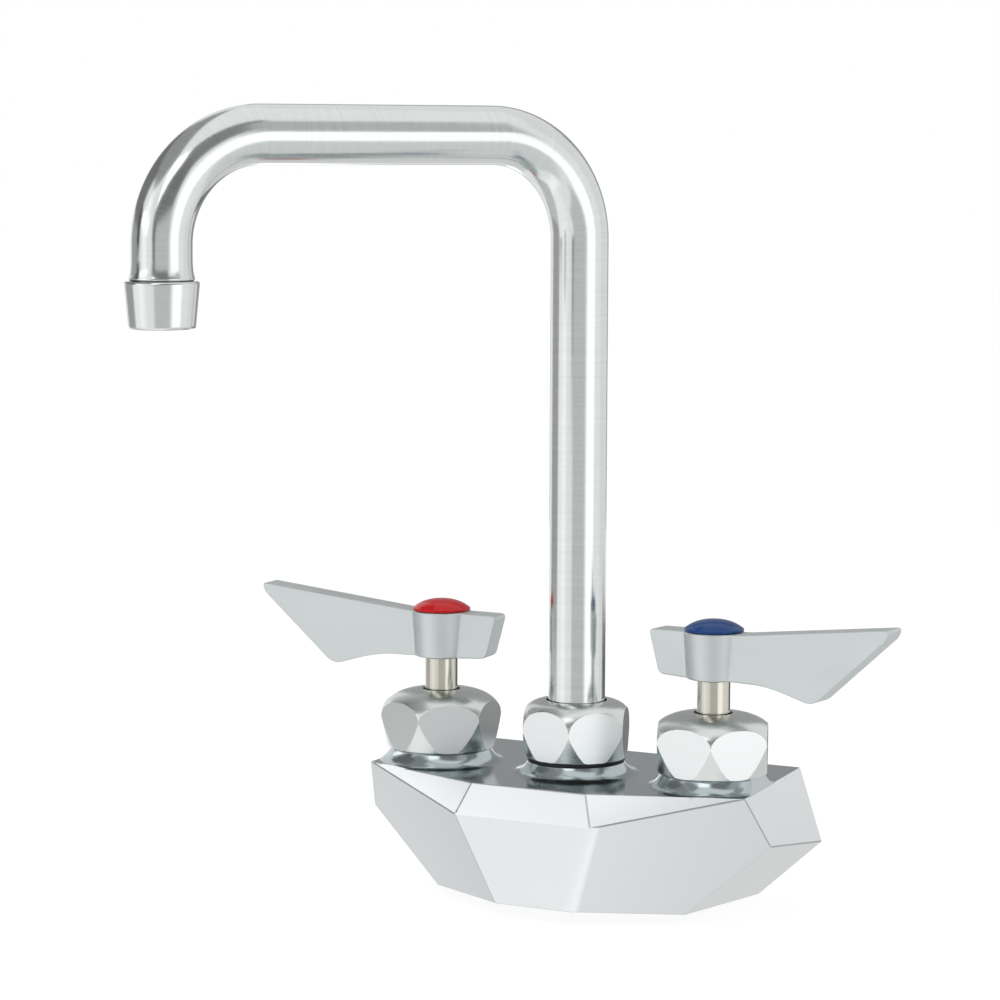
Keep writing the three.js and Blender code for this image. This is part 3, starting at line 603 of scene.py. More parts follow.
@dataclass
class FacetedBody:
    """The cast body: a cut gem under a flat top, with three flared bosses and two inlet sockets.

    The corners of the gem are given as the place across, the distance from the wall and the drop
    below the top. Where one of the three is left out, it is 0.
    """

    centres: float = 101.6
    valve_out: float = 45.0
    spout_out: float = 43.5
    top: float = 22.0
    stock: Point3 = (160.0, 90.0, 60.0)
    top_front: Point2 = (20.9, 78.6)
    top_side: Point2 = (69.5, 60.9)
    top_back: float = 63.0
    lip: Point3 = (24.8, 83.0, 10.2)
    foot: Point3 = (13.6, 75.5, 40.4)
    foot_back: Point2 = (48.3, 45.3)
    widest: Point2 = (71.3, 24.7)
    notch_drop: float = 17.3
    edge: float = 0.35
    soft_edge: float = 3.2
    boss_foot_r: float = 22.2
    boss_flare: float = 2.2
    valve_boss_r: float = 17.0
    spout_boss_r: float = 16.2
    valve_boss: float = 4.4
    spout_boss: float = 3.8
    neck: float = 10.0
    valve_neck_r: float = 13.1
    spout_neck_r: float = 13.3
    neck_pitch: float = 1.5
    neck_cut: float = 0.7
    neck_start: float = 1.6
    seat: float = 8.0
    chamber_r: float = 10.3
    port_r: float = 5.0
    well_r: float = 10.4
    well_floor: float = 10.0
    cross_r: float = 3.6
    cross_z: float = 16.8
    socket_r: float = 9.7
    socket_deep: float = 16.0
    socket_pitch: float = 1.81
    socket_cut: float = 0.55
    mouth_r: float = 10.9
    mouth_deep: float = 1.4
    bore_r: float = 5.5

    def at(self, x: float, out: float, drop: float) -> Vector:
        """A point from its place across, its distance from the wall and its drop below the top."""
        return Vector((x, -out, self.top - drop))

    def facet(self, a: Vector, b: Vector, c: Vector) -> Plane:
        """The plane through three points: one of them, and the normal that faces out of the body."""
        normal = (b - a).cross(c - a).normalized()
        return a, -normal if normal.dot(Vector((0, -self.valve_out, 0)) - a) > 0 else normal

    @cached_property
    def planes(self) -> dict[str, Plane]:
        """The facets by name.

        Returns:
            Their planes. Those on the right have mirrored partners with a minus sign.
        """
        top_front, top_side = self.at(*self.top_front, 0), self.at(*self.top_side, 0)
        lip, foot = self.at(*self.lip), self.at(*self.foot)
        foot_back = self.at(self.foot_back[0], 0, self.foot_back[1])
        widest = self.at(self.widest[0], 0, self.widest[1])
        flip = Vector((-1, 1, 1))
        flank = self.facet(top_side, lip, foot)
        end = self.facet(top_side, self.at(self.top_back, 0, 0), widest)
        rows = Matrix((flank[1], end[1], UP))
        offsets = (flank[0].dot(flank[1]), end[0].dot(end[1]), self.top - self.notch_drop)
        notch = rows.inverted() @ Vector(offsets)
        found = {
            "top": (UP * self.top, UP),
            "brow": self.facet(top_front, top_front * flip, lip),
            "chin": self.facet(lip, lip * flip, foot),
            "bottom": self.facet(foot, foot * flip, foot_back),
        }
        sides = {
            "flank": flank,
            "end": end,
            "corner": self.facet(top_side, top_front, lip),
            "lower_end": self.facet(notch, widest, foot_back),
        }
        for name, (place, normal) in sides.items():
            found[name] = (place, normal)
            found["-" + name] = (place * flip, normal * flip)
        return found

    def block(self) -> Work:
        """Saws the gem out of a block and eases its edges, most of all the one at chin and right flank.

        Returns:
            The closed block, without bosses.
        """
        block = Work.box("body_casting", (0, -self.stock[1] / 2, 0), self.stock)
        for plane in self.planes.values():
            block.cut(*plane)
        chin, flank = self.planes["chin"][1], self.planes["flank"][1]

        def is_soft(edge: Edge) -> bool:
            """Whether an edge lies between the chin and the right flank."""
            normals = [face.normal for face in edge.link_faces]
            return len(normals) == 2 and any(
                a.dot(chin) > SAME_WAY and b.dot(flank) > SAME_WAY for a, b in (normals, normals[::-1])
            )

        share = self.edge / self.soft_edge
        block.open()
        block.pick("EDGE", lambda edge: True)
        bpy.ops.transform.edge_bevelweight(value=share)
        block.pick("EDGE", is_soft)
        bpy.ops.transform.edge_bevelweight(value=1 - share)
        width = self.soft_edge * MM
        block.modify("BEVEL", limit_method="WEIGHT", width=width, segments=4, use_clamp_overlap=True)
        return block

    def shaded_crease_rule(self) -> FaceRule:
        """Finds the narrow eased edges that get painted shade, as thin dark lines.

        Returns:
            A rule that holds for the faces of those edges.
        """
        arcs = []
        for one, other in (("corner", "brow"), ("corner", "flank"), ("end", "flank"), ("end", "lower_end")):
            for sign in ("", "-"):
                a = self.planes[sign + one][1]
                b = self.planes[other if other == "brow" else sign + other][1]
                arcs.append((a, b, a.cross(b).normalized()))

        def is_painted_crease(face: Face) -> bool:
            """Whether a face looks between the ways that two neighbouring facets look.

            Args:
                face: The face.

            Returns:
                Whether it does.
            """
            normal = face.normal
            for a, b, across in arcs:
                near, far = sorted((normal.dot(a), normal.dot(b)), reverse=True)
                if abs(normal.dot(across)) < 0.02 and far > a.dot(b) + 1e-4 and near < 0.99995:
                    return True
            return False

        return is_painted_crease

    def boss(self, name: str, place: Point2, height: float, rim_r: float, neck_r: float) -> Work:
        """Turns a flared boss with its threaded neck.

        Args:
            name: The piece's name.
            place: Where its axis stands.
            height: The boss above the top face.
            rim_r: The radius of its rim.
            neck_r: The neck's radius.

        Returns:
            The closed piece.
        """
        crown = self.top + height
        root_r = neck_r - self.neck_cut
        foot = (self.boss_foot_r, self.top)
        flare = bend(foot, (rim_r + self.boss_flare, self.top), (rim_r, crown), 18)
        thread = []
        for i in range(int((self.neck - 2 * self.neck_pitch) / self.neck_pitch)):
            low = crown + self.neck_start + i * self.neck_pitch
            turn = ((root_r, 0), (neck_r, 0.6), (neck_r, 0.9), (root_r, self.neck_pitch))
            thread += [(radius, low + rise) for radius, rise in turn]
        end = crown + self.neck
        root = [(0, self.top - height), (self.boss_foot_r, self.top - height)]
        profile = [*root, *flare, (root_r, crown), *thread, (root_r, end), (0, end)]
        return Work.turned(name, profile, place)

    def inlet(self, x: float) -> Work:
        """The room of one inlet: a threaded socket, then a drilled bore to the valve.

        Args:
            x: Where the inlet's axis is, across.

        Returns:
            A closed cutter that lies along the inlet's axis.
        """
        turns = int((self.socket_deep - 3.2) / self.socket_pitch)
        lows = [self.mouth_deep + i * self.socket_pitch for i in range(turns + 1)]
        ribs = []
        for low in lows[:-1]:
            ribs += [(self.socket_r, low), (self.socket_r + self.socket_cut, low + self.socket_pitch / 2)]
        end = self.valve_out + self.bore_r
        point = self.socket_deep + (self.socket_r - self.bore_r) / 2
        mouth = [(0, -1), (self.mouth_r, -1), (self.mouth_r, 0)]
        socket = [*ribs, (self.socket_r, lows[-1]), (self.socket_r, self.socket_deep)]
        bore = [(self.bore_r, point), (self.bore_r, end), (0, end)]
        room = Work.turned("inlet_room", mouth + socket + bore, steps=72)
        room.move(Matrix.Translation((x * MM, 0, 0)) @ Matrix.Rotation(math.pi / 2, 4, "X"))
        return room

    def waterways(self, body: Work) -> None:
        """Drills the cross way, the well, and the chamber, the inlet and the port of each valve.

        Args:
            body: The casting.
        """
        cross = Work(
            "cross_drill",
            bpy.ops.mesh.primitive_cylinder_add,
            vertices=48,
            radius=self.cross_r * MM,
            depth=self.centres * MM,
            location=(0, -self.valve_out * MM, self.cross_z * MM),
            rotation=(0, math.pi / 2, 0),
        )
        body.drill(cross)
        over = self.top + self.valve_boss + self.neck + 1

        def upright(name: str, radius: float, low: float, high: float, place: Point2) -> None:
            """Drills an upright hole of a radius between two levels."""
            section = [(0, low), (radius, low), (radius, high), (0, high)]
            body.drill(Work.turned(name, section, place, 64))

        upright("well_drill", self.well_r, self.well_floor, over, (0, -self.spout_out))
        for x in (-self.centres / 2, self.centres / 2):
            upright("chamber_drill", self.chamber_r, self.seat, over, (x, -self.valve_out))
            body.drill(self.inlet(x))
            upright("port_drill", self.port_r, 0, self.seat + 1, (x, -self.valve_out))

    def build(self) -> None:
        """Makes the casting and dresses it."""
        body = self.block()
        for sign, x in (("-", -self.centres / 2), ("", self.centres / 2)):
            place = (x, -self.valve_out)
            boss = self.boss("valve_boss", place, self.valve_boss, self.valve_boss_r, self.valve_neck_r)
            for name in ("end", "flank", "corner"):
                boss.cut(*self.planes[sign + name])
            body.join(boss)
        place = (0, -self.spout_out)
        body.join(self.boss("spout_boss", place, self.spout_boss, self.spout_boss_r, self.spout_neck_r))
        self.waterways(body)
        top = (self.top - 0.05) * MM
        spots = (
            # painted shade: the top face and the bosses get the darker satin copy of the metal
            (shared("satin_top_painted_shade"), lambda face: face.calc_center_median().z > top),
            # painted shade: the narrow eased creases between facets get the dark copy of the metal
            (shared("crease_painted_shade"), self.shaded_crease_rule()),
        )
        body.dress("body", "faucet_body", "cast_steel", shared("brushed_facets"), spots=spots)


# ---- Nuts ----


@dataclass
class DomedNut:
    """A hexagon nut with a domed crown and a tapered foot, whose six flats meet at its widest level."""

    name: str
    axis: Point2
    seat: float
    flats: float
    base_r: float
    height: float
    widest: float
    hole_r: float
    rise: float
    reach: float
    turn: float
    hollow: Sequence[Point2]
    foot_ease: float = 0.3
    edge: float = 0.32
    sliver: float = 0.07

    def profile(self) -> list[Point2]:
        """The nut's section: up the outside, over the dome, down the hole and through the hollow.

        Returns:
            Points of radius and height.
        """
        widest = (self.flats / 2 / math.cos(math.pi / 6), self.widest)
        above = (widest[0], self.widest + self.rise)
        dome = curve([widest, above, (self.hole_r + self.reach, self.height), (self.hole_r, self.height)], 26)
        foot = [(self.base_r - self.foot_ease, 0.0), (self.base_r, self.foot_ease)]
        return [(r, z + self.seat) for r, z in (*foot, widest, *dome)] + list(self.hollow)

    def build(self) -> None:
        """Turns the nut, mills its flats and dresses it."""
        nut = Work.turned(self.name + "_dressed", self.profile(), self.axis, 120)
        centre = Vector((*self.axis, 0))
        angles = [math.radians(self.turn + 60 * i) for i in range(6)]
        normals = [Vector((math.cos(angle), math.sin(angle), 0)) for angle in angles]
        for normal in normals:
            nut.cut(centre + normal * self.flats / 2, normal)

        def is_flat(face: Face) -> bool:
            """Whether a face is one of the six flats."""
            away = face.calc_center_median() - centre * MM
            return any(
                face.normal.dot(n) > SAME_WAY and abs(away.dot(n) - self.flats / 2 * MM) < 2e-5
                for n in normals
            )

        nut.open()
        nut.pick("EDGE", lambda edge: sum(map(is_flat, edge.link_faces)) == 1)
        nut.ease(self.edge)
        narrow = self.sliver * MM
        spots = (
            (shared("brushed_flats"), is_flat),
            # painted highlight: the narrow eased faces round the flats get the pale copy of the metal
            (shared("painted_edge_highlights"), lambda face: face.calc_area() < narrow * face.calc_perimeter()),
        )
        finish = lathe(self.name + "_turned", self.axis)
        nut.dress(self.name, "faucet_body", "brushed_steel", finish, 30, spots)


# ---- Valves ----


@dataclass
class Lever:
    """A wing lever: a tapered hub, a long blade on one side and a short tail on the other.

    The outline of blade and tail is given by the reach from the stem, the height above the hub's
    foot and the rounding of each corner.
    """

    side: Side
    axis: Point2
    base: float = 57.7
    rise: float = 15.6
    top_r: float = 10.0
    base_r: float = 9.0
    base_ease: float = 0.6
    top_ease: float = 0.5
    thick: float = 9.0
    drive: float = 8.2
    web: float = 10.5
    pocket_r: float = 6.6
    pocket: float = 11.8
    screw_r: float = 2.8
    edge: float = 0.45
    fillet: float = 1.5
    outline: Sequence[Point3] = (
        *((-18.4, 0.5, 2.0), (-9.0, 0.0, 0.0), (9.0, 0.0, 0.0), (22.0, -0.1, 9.0), (39.0, -5.0, 3.4)),
        *((65.6, 18.8, 1.7), (66.39, 21.9, 1.7), (11.0, 15.6, 2.0), (0.0, 15.6, 0.0), (-22.3, 15.2, 2.0)),
    )

    def plate(self) -> Work:
        """Cuts blade and tail out of one plate, with eased edges.

        Returns:
            The closed plate.
        """
        x, y = self.axis
        path = [(x + r, y - self.thick / 2, self.base + z) for r, z in rounded(self.outline, 6)]
        plate = Work.drawn(self.side.node("lever_dressed"), path, True)
        bpy.ops.mesh.edge_face_add()
        bpy.ops.mesh.extrude_region_move(TRANSFORM_OT_translate={"value": (0, self.thick * MM, 0)})
        plate.tidy()
        plate.open()
        plate.pick("EDGE", lambda edge: any(abs(face.normal.y) > 0.99 for face in edge.link_faces))
        plate.ease(self.edge)
        plate.tidy()
        return plate

    def hub(self) -> Work:
        """Turns the tapered hub.

        Returns:
            The closed hub.
        """
        low, high = self.base, self.base + self.rise
        r, ease = self.base_r, self.base_ease
        foot = bend((r - ease, low), (r, low), (r, low + ease))
        r, ease = self.top_r, self.top_ease
        rim = bend((r, high - ease), (r, high), (r - ease, high))
        return Work.turned("lever_hub", [(0, low), *foot, *rim, (0, high)], self.axis)

    def open_hub(self, lever: Work) -> None:
        """Cuts the square drive, the screw's hole and the pocket under the button.

        Args:
            lever: The joined lever.
        """
        depth = self.web + 1
        centre = (*self.axis, self.base - 1 + depth / 2)
        lever.drill(Work.box("drive_cutter", centre, (self.drive, self.drive, depth)))
        low, ledge, high = self.base + self.web - 1, self.base + self.pocket, self.base + self.rise + 1
        section = [(0, low), (self.screw_r, low), (self.screw_r, ledge), (self.pocket_r, ledge)]
        section += [(self.pocket_r, high), (0, high)]
        lever.drill(Work.turned("pocket_cutter", section, self.axis, 64))

    def build(self) -> None:
        """Joins hub and plate, opens the drive and the button's pocket, and dresses the lever."""
        lever = self.plate()
        lever.join(self.hub())

        def is_groove(edge: Edge) -> bool:
            """Whether an edge lies in a groove between the hub and a side of the plate.

            Args:
                edge: The edge.

            Returns:
                Whether it does.
            """
            if len(edge.link_faces) != 2 or edge.is_convex:
                return False
            off = abs((edge.verts[0].co.y + edge.verts[1].co.y) / 2 - self.axis[1] * MM)
            return abs(off - self.thick / 2 * MM) < 1e-4 and edge.calc_face_angle(0) > math.radians(20)

        lever.open()
        lever.pick("EDGE", is_groove)
        lever.ease(self.fillet, 4)
        lever.tidy()
        self.open_hub(lever)
        lever.swivel(self.axis, self.side.heading)
        node, body = self.side.node("lever"), self.side.node("handle")
        lever.dress(node, body, "satin_silver", shared("satin_lever"), 34)


@dataclass
class Valve:
    """What turns on one valve axis and what holds it down: stem, lever, button and bonnet nut."""

    side: Side
    out: float = 45.0
    centres: float = 101.6
    stem_r: float = 5.5
    stem_top: float = 57.4
    stem_foot_r: float = 6.4
    stem_foot: float = 4.5
    stem_ease: float = 0.3
    drive: float = 7.6
    drive_ease: float = 0.4
    screw_r: float = 2.8
    hub_top: float = 73.3
    button_gap: float = 0.15
    button_r: float = 9.8
    button_edge: float = 0.9
    button_dome: float = 2.95
    plug_r: float = 6.3
    plug: float = 0.7
    nut_hollow: Sequence[Point2] = ((6.4, 44.9), (8.5, 44.9), (8.5, 39.5), (13.4, 39.5), (13.4, 26.7))

    @property
    def axis(self) -> Point2:
        """Where the valve's axis stands."""
        return (self.side.way * self.centres / 2, -self.out)

    def nut(self) -> None:
        """Makes the bonnet nut."""
        DomedNut(
            self.side.node("bonnet_nut"),
            self.axis,
            seat=26.7,
            flats=35.8,
            base_r=18.2,
            height=19.7,
            widest=10.5,
            hole_r=6.4,
            rise=5.0,
            reach=9.3,
            turn=self.side.nut_turn,
            hollow=self.nut_hollow,
        ).build()

    def stem(self) -> None:
        """Makes the stem, from the foot that turns the disc up to the bored square in the hub."""
        r, top = self.stem_r, self.stem_top
        low, high = levels(self.side.node("stem"))
        foot = low + self.stem_foot
        profile = [(0, low), (self.stem_foot_r, low), (self.stem_foot_r, foot), (r, foot)]
        for part, depth, gap in (("stem_ring", 1.6, 0.3), ("stem_clip", 0.8, 0.1)):
            start, end = levels(self.side.node(part))
            profile += [(r, start - gap), (r - depth, start - gap), (r - depth, end + gap), (r, end + gap)]
        profile += [(r, top - self.stem_ease), (r - self.stem_ease, top), (0, top)]
        stem = Work.turned(self.side.node("stem_dressed"), profile, self.axis, 72)
        start = top - 1
        drive = Work.box("drive", (*self.axis, (start + high) / 2), (self.drive, self.drive, high - start))
        drive.open()
        drive.pick("EDGE", lambda edge: max(vert.co.z for vert in edge.verts) > (high - 0.1) * MM)
        drive.ease(self.drive_ease, 2)
        drive.tidy()
        stem.join(drive)
        floor = levels(self.side.node("handle_screw"))[0] - 1
        hole = [(0, floor), (self.screw_r, floor), (self.screw_r, high + 1), (0, high + 1)]
        stem.drill(Work.turned("screw_drill", hole, self.axis, 32))
        stem.swivel(self.axis, self.side.heading)
        finish = lathe(self.side.node("stem_polished"), self.axis, 0.16, NICKEL)
        stem.dress(self.side.node("stem"), self.side.node("handle"), "nickel", finish, 30)

    def button(self) -> None:
        """Makes the domed index button."""
        base = self.hub_top + self.button_gap
        edge = base + self.button_edge
        crown = edge + self.button_dome
        r = self.button_r
        shoulder = (r - 0.4, edge + 0.12)
        profile = [
            *((0, base - self.plug), (self.plug_r, base - self.plug), (self.plug_r, base)),
            *bend((r - 0.4, base), (r, base), (r, base + 0.4)),
            *bend((r, edge - 0.25), (r, edge), shoulder),
            *curve([shoulder, (r * 0.6, crown), (0, crown)], 24),
        ]
        button = Work.turned(self.side.node("button_dressed"), profile, self.axis)
        finish, slot = ("red_enamel", "hot_red") if self.side is Side.HOT else ("blue_enamel", "cold_blue")
        button.dress(self.side.node("index_button"), self.side.node("handle"), slot, shared(finish))

    def build(self) -> None:
        """Builds and dresses everything on this valve's axis."""
        for make in (self.nut, self.stem, self.button, Lever(self.side, self.axis).build):
            make()


# ---- Spout ----


@dataclass
class Spout:
    """The swivel spout: nut and gasket on the body, bent tube, ferrule and aerator."""

    out: float = 43.5
    swivel: float = 31.0
    tube_r: float = 9.525
    wall: float = 1.25
    run_z: float = 234.1
    bend_r: float = 34.0
    reach: float = 152.4
    tube_foot: float = 37.9
    tube_end: float = 195.7
    sides: int = 72
    bend_steps: int = 40
    gasket_r: Point2 = (13.6, 16.3)
    gasket_ease: float = 0.25
    flare_foot: float = 189.4
    flare_r: float = 10.25
    flare_rise: float = 2.6
    outlet_thread_r: float = 9.8
    outlet_pitch: float = 0.9
    outlet_bore_r: float = 6.6
    fit: float = 0.3
    nut_hollow: Sequence[Point2] = (
        *((10.175, 43.4), (12.525, 43.4), (12.525, 36.1), (13.6, 36.1), (13.6, 27.3)),
    )

    @property
    def heading(self) -> Vector:
        """The level direction that the spout points to."""
        angle = math.radians(self.swivel)
        return Vector((-math.sin(angle), -math.cos(angle), 0))

    @property
    def start(self) -> Vector:
        """Where the swivel's axis stands."""
        return Vector((0, -self.out, 0))

    @property
    def outlet(self) -> Point2:
        """Where the outlet's upright axis stands."""
        end = self.start + self.heading * self.reach
        return (end.x, end.y)

    def along(self, point: Vector) -> Vector:
        """How far along the tube a point is, and where it is round it.

        Args:
            point: A point of the tube, in millimetres.

        Returns:
            The length along the centreline and the two offsets from it.
        """
        away = point - self.start
        x = away.dot(self.heading)
        side = away.dot(Vector((-self.heading.y, self.heading.x, 0)))
        low, last = self.run_z - self.bend_r, self.reach - self.bend_r
        first_bend = low - self.tube_foot
        run = first_bend + self.bend_r * math.pi / 2
        last_bend = run + self.reach - 2 * self.bend_r
        drop = last_bend + self.bend_r * math.pi / 2

        def bent(length: float, far: float, near: float) -> Vector:
            """A point in a bend, from the length before it and the two sides of its turn."""
            turn, radius = math.atan2(far, near), math.hypot(far, near)
            return Vector((length + turn * self.bend_r, self.bend_r - radius, side))

        if x <= self.bend_r and point.z <= low:
            return Vector((point.z - self.tube_foot, x, side))
        if x <= self.bend_r:
            return bent(first_bend, point.z - low, self.bend_r - x)
        if x <= last:
            return Vector((run + x - self.bend_r, self.run_z - point.z, side))
        if point.z >= low:
            return bent(last_bend, x - last, point.z - low)
        return Vector((drop + low - point.z, self.reach - x, side))

    def tube(self) -> None:
        """Bends the tube: up, over, along and down, then gives it its wall."""
        tube = Work(
            "spout_tube_dressed",
            bpy.ops.mesh.primitive_circle_add,
            vertices=self.sides,
            radius=self.tube_r * MM,
            fill_type="NOTHING",
            location=(self.start + UP * self.tube_foot) * MM,
        )
        tube.open_all()
        low = self.run_z - self.bend_r
        across = self.heading.cross(UP)
        legs = (
            (UP * (low - self.tube_foot), self.bend_r),
            (self.heading * (self.reach - 2 * self.bend_r), self.reach - self.bend_r),
            (UP * (self.tube_end - low), None),
        )
        for leg, bend_out in legs:
            bpy.ops.mesh.extrude_region_move(TRANSFORM_OT_translate={"value": leg * MM})
            if bend_out:
                centre = (self.start + self.heading * bend_out + UP * low) * MM
                bpy.ops.mesh.spin(steps=self.bend_steps, angle=math.pi / 2, center=centre, axis=across)
        tube.tidy()
        tube.modify("SOLIDIFY", thickness=self.wall * MM, offset=-1)
        mesh = tube.object.data
        marks = mesh.attributes.new("along_tube", "FLOAT_VECTOR", "POINT")
        for mark, vertex in zip(marks.data, mesh.vertices):
            mark.vector = self.along(vertex.co / MM) * MM
        tube.dress("spout_tube", "spout", "brushed_steel", shared("polished_tube"))

    def nut(self) -> None:
        """Makes the nut that holds the spout down."""
        DomedNut(
            "spout_nut",
            (0, -self.out),
            seat=27.3,
            flats=33.5,
            base_r=17.2,
            height=19.1,
            widest=9.0,
            hole_r=10.175,
            rise=6.4,
            reach=6.1,
            turn=18.9,
            hollow=self.nut_hollow,
        ).build()

    def gasket(self) -> None:
        """Makes the black ring between the nut and its boss."""
        low, high = levels("spout_nut_gasket")
        (inner, outer), soft = self.gasket_r, self.gasket_ease
        profile = [
            (inner, low),
            *bend((outer - soft, low), (outer, low), (outer, low + soft)),
            *bend((outer, high - soft), (outer, high), (outer - soft, high)),
            (inner, high),
        ]
        ring = Work.turned("spout_nut_gasket_dressed", profile, (0, -self.out))
        ring.dress("spout_nut_gasket", "faucet_body", "black_rubber", shared("black_rubber"))

    def ferrule(self) -> None:
        """Makes the flared collar on the tube's end, with the aerator's thread below it."""
        foot, crown = levels("outlet_ferrule")
        low, flare, top = self.flare_foot, self.flare_r, self.tube_end
        spigot = self.tube_r - self.wall - self.fit
        thread = []
        z = foot + 0.4
        while z + self.outlet_pitch < low - 0.4:
            thread += [(self.outlet_thread_r, z), (self.outlet_thread_r - 0.5, z + self.outlet_pitch / 2)]
            z += self.outlet_pitch
        profile = [
            (self.outlet_bore_r, foot),
            *thread,
            (self.outlet_thread_r - 0.3, low),
            *bend((flare - 0.4, low), (flare, low), (flare, low + 0.5)),
            *curve([(flare, low + 0.5), (self.tube_r, low + self.flare_rise), (self.tube_r, top)], 14),
            *((spigot, top), (spigot, crown), (self.outlet_bore_r, crown)),
        ]
        piece = Work.turned("outlet_ferrule_dressed", profile, self.outlet)
        finish = lathe("ferrule_turned", self.outlet, 0.2)
        piece.dress("outlet_ferrule", "spout", "brushed_steel", finish)

    def aerator(self) -> None:
        """Makes the tapered aerator shell, with a rounded lower rim."""
        low, high = levels("aerator_housing")
        step = levels("aerator_insert")[1]
        top_r, base_r, ease, lip_r, lip, thread_r, bore_r = 11.69, 10.5, 1.4, 8.6, 2.2, 10.1, 9.4
        profile = [
            (lip_r, low + 0.4),
            (lip_r + 0.4, low),
            *bend((base_r - ease, low), (base_r, low), (base_r, low + ease), 8),
            *bend((top_r, high - 0.9), (top_r - 0.1, high), (top_r - 0.9, high), 6),
            *((thread_r, high), (thread_r, step), (bore_r, step), (bore_r, low + lip), (lip_r, low + lip)),
        ]
        shell = Work.turned("aerator_housing_dressed", profile, self.outlet)
        finish = lathe("aerator_turned", self.outlet, 0.17)
        shell.dress("aerator_housing", "spout", "brushed_steel", finish)

    def build(self) -> None:
        """Builds and dresses the spout and what holds it."""
        for make in (self.nut, self.gasket, self.tube, self.ferrule, self.aerator):
            make()


class InnerPieces:
    """The pieces inside the valves, the swivel and the aerator, which keep their CAD shapes."""

    SEALS = ("hot_seat_seal", "hot_stem_ring", "cold_seat_seal", "cold_stem_ring")
    FINISHES = {
        "white_nylon": ("spout_thrust_washer", "aerator_insert"),
        "turned_brass": ("spout_sleeve", "hot_cartridge_body", "cold_cartridge_body"),
        "black_rubber": ("spout_lower_ring", "spout_upper_ring", "aerator_washer", *SEALS),
        "ceramic": ("hot_fixed_disc", "hot_turning_disc", "cold_fixed_disc", "cold_turning_disc"),
        "spring_steel": ("hot_stem_clip", "hot_handle_screw", "cold_stem_clip", "cold_handle_screw"),
    }

    def build(self) -> None:
        """Gives each node that stays its finish."""
        for finish, nodes in self.FINISHES.items():
            for node in nodes:
                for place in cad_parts[node].material_slots:
                    place.material = shared(finish)
                log.info("dressed %s", node)


# ---- Studio ----


@dataclass(frozen=True)
class Board:
    """A white or grey board: where it stands, how wide and high it looks from the faucet, and its tone.

    Azimuths run from 0 at the front to 90 at the right, elevations are above the level, and all are
    in degrees. The tone is 1 for white, and the distance is in metres.
    """

    name: str
    azimuth: float
    elevation: float
    wide: float
    high: float
    tone: float
    distance: float


BOARDS = (
    Board("right_board", 75.9, 2.9, 32.8, 35, 1.49, 1.01),
    Board("left_board", -34.4, 11.8, 15.2, 50.3, 1.23, 1.26),
    Board("left_high_board", -63.8, 19, 81.5, 8, 1.84, 0.95),
    Board("front_board", 4.3, 38.5, 20.8, 31.9, 1.9, 1.3),
    Board("low_board", -47.8, -36.9, 61, 77.4, 1.1, 1.3),
    Board("eye_card", 22.2, 20.8, 55.7, 44, 0.21, 1.23),
    Board("eye_low_card", 28.8, -4.8, 49.3, 41.7, 0.64, 1),
    Board("high_card", 54.6, 44.2, 43.8, 32.2, 0.27, 1.3),
    Board("upper_card", 85.2, 36.7, 19.3, 33.1, 0.56, 0.78),
    Board("far_left_card", -84.2, 5.5, 43.1, 90.5, 0.42, 1.29),
    Board("far_high_card", -84.5, 32.8, 49.7, 26.4, 0.21, 0.48),
    Board("over_board", -13.1, -58.5, 62.1, 12.1, 1.27, 0.75),
    Board("left_low_card", -80.6, -38.8, 39, 56.8, 0.66, 0.68),
    Board("back_card", 176.8, 20.7, 110, 79.9, 0.89, 1.1),
    Board("side_card", 177.2, -12.6, 51.4, 8, 0.14, 1.13),
    Board("low_back_card", 134.1, -53.9, 110, 73.4, 0.79, 1.09),
    Board("back_low_board", -144.3, -11.6, 8, 38.4, 1.9, 0.95),
    Board("high_left_card", -73.1, 55, 70.5, 31.8, 0.36, 1.15),
    Board("wall_card", -161.1, 18.6, 47.5, 46.8, 0.36, 0.46),
    Board("drop_card", -54.9, 19.1, 11.5, 16, 0.06, 0.49),
)


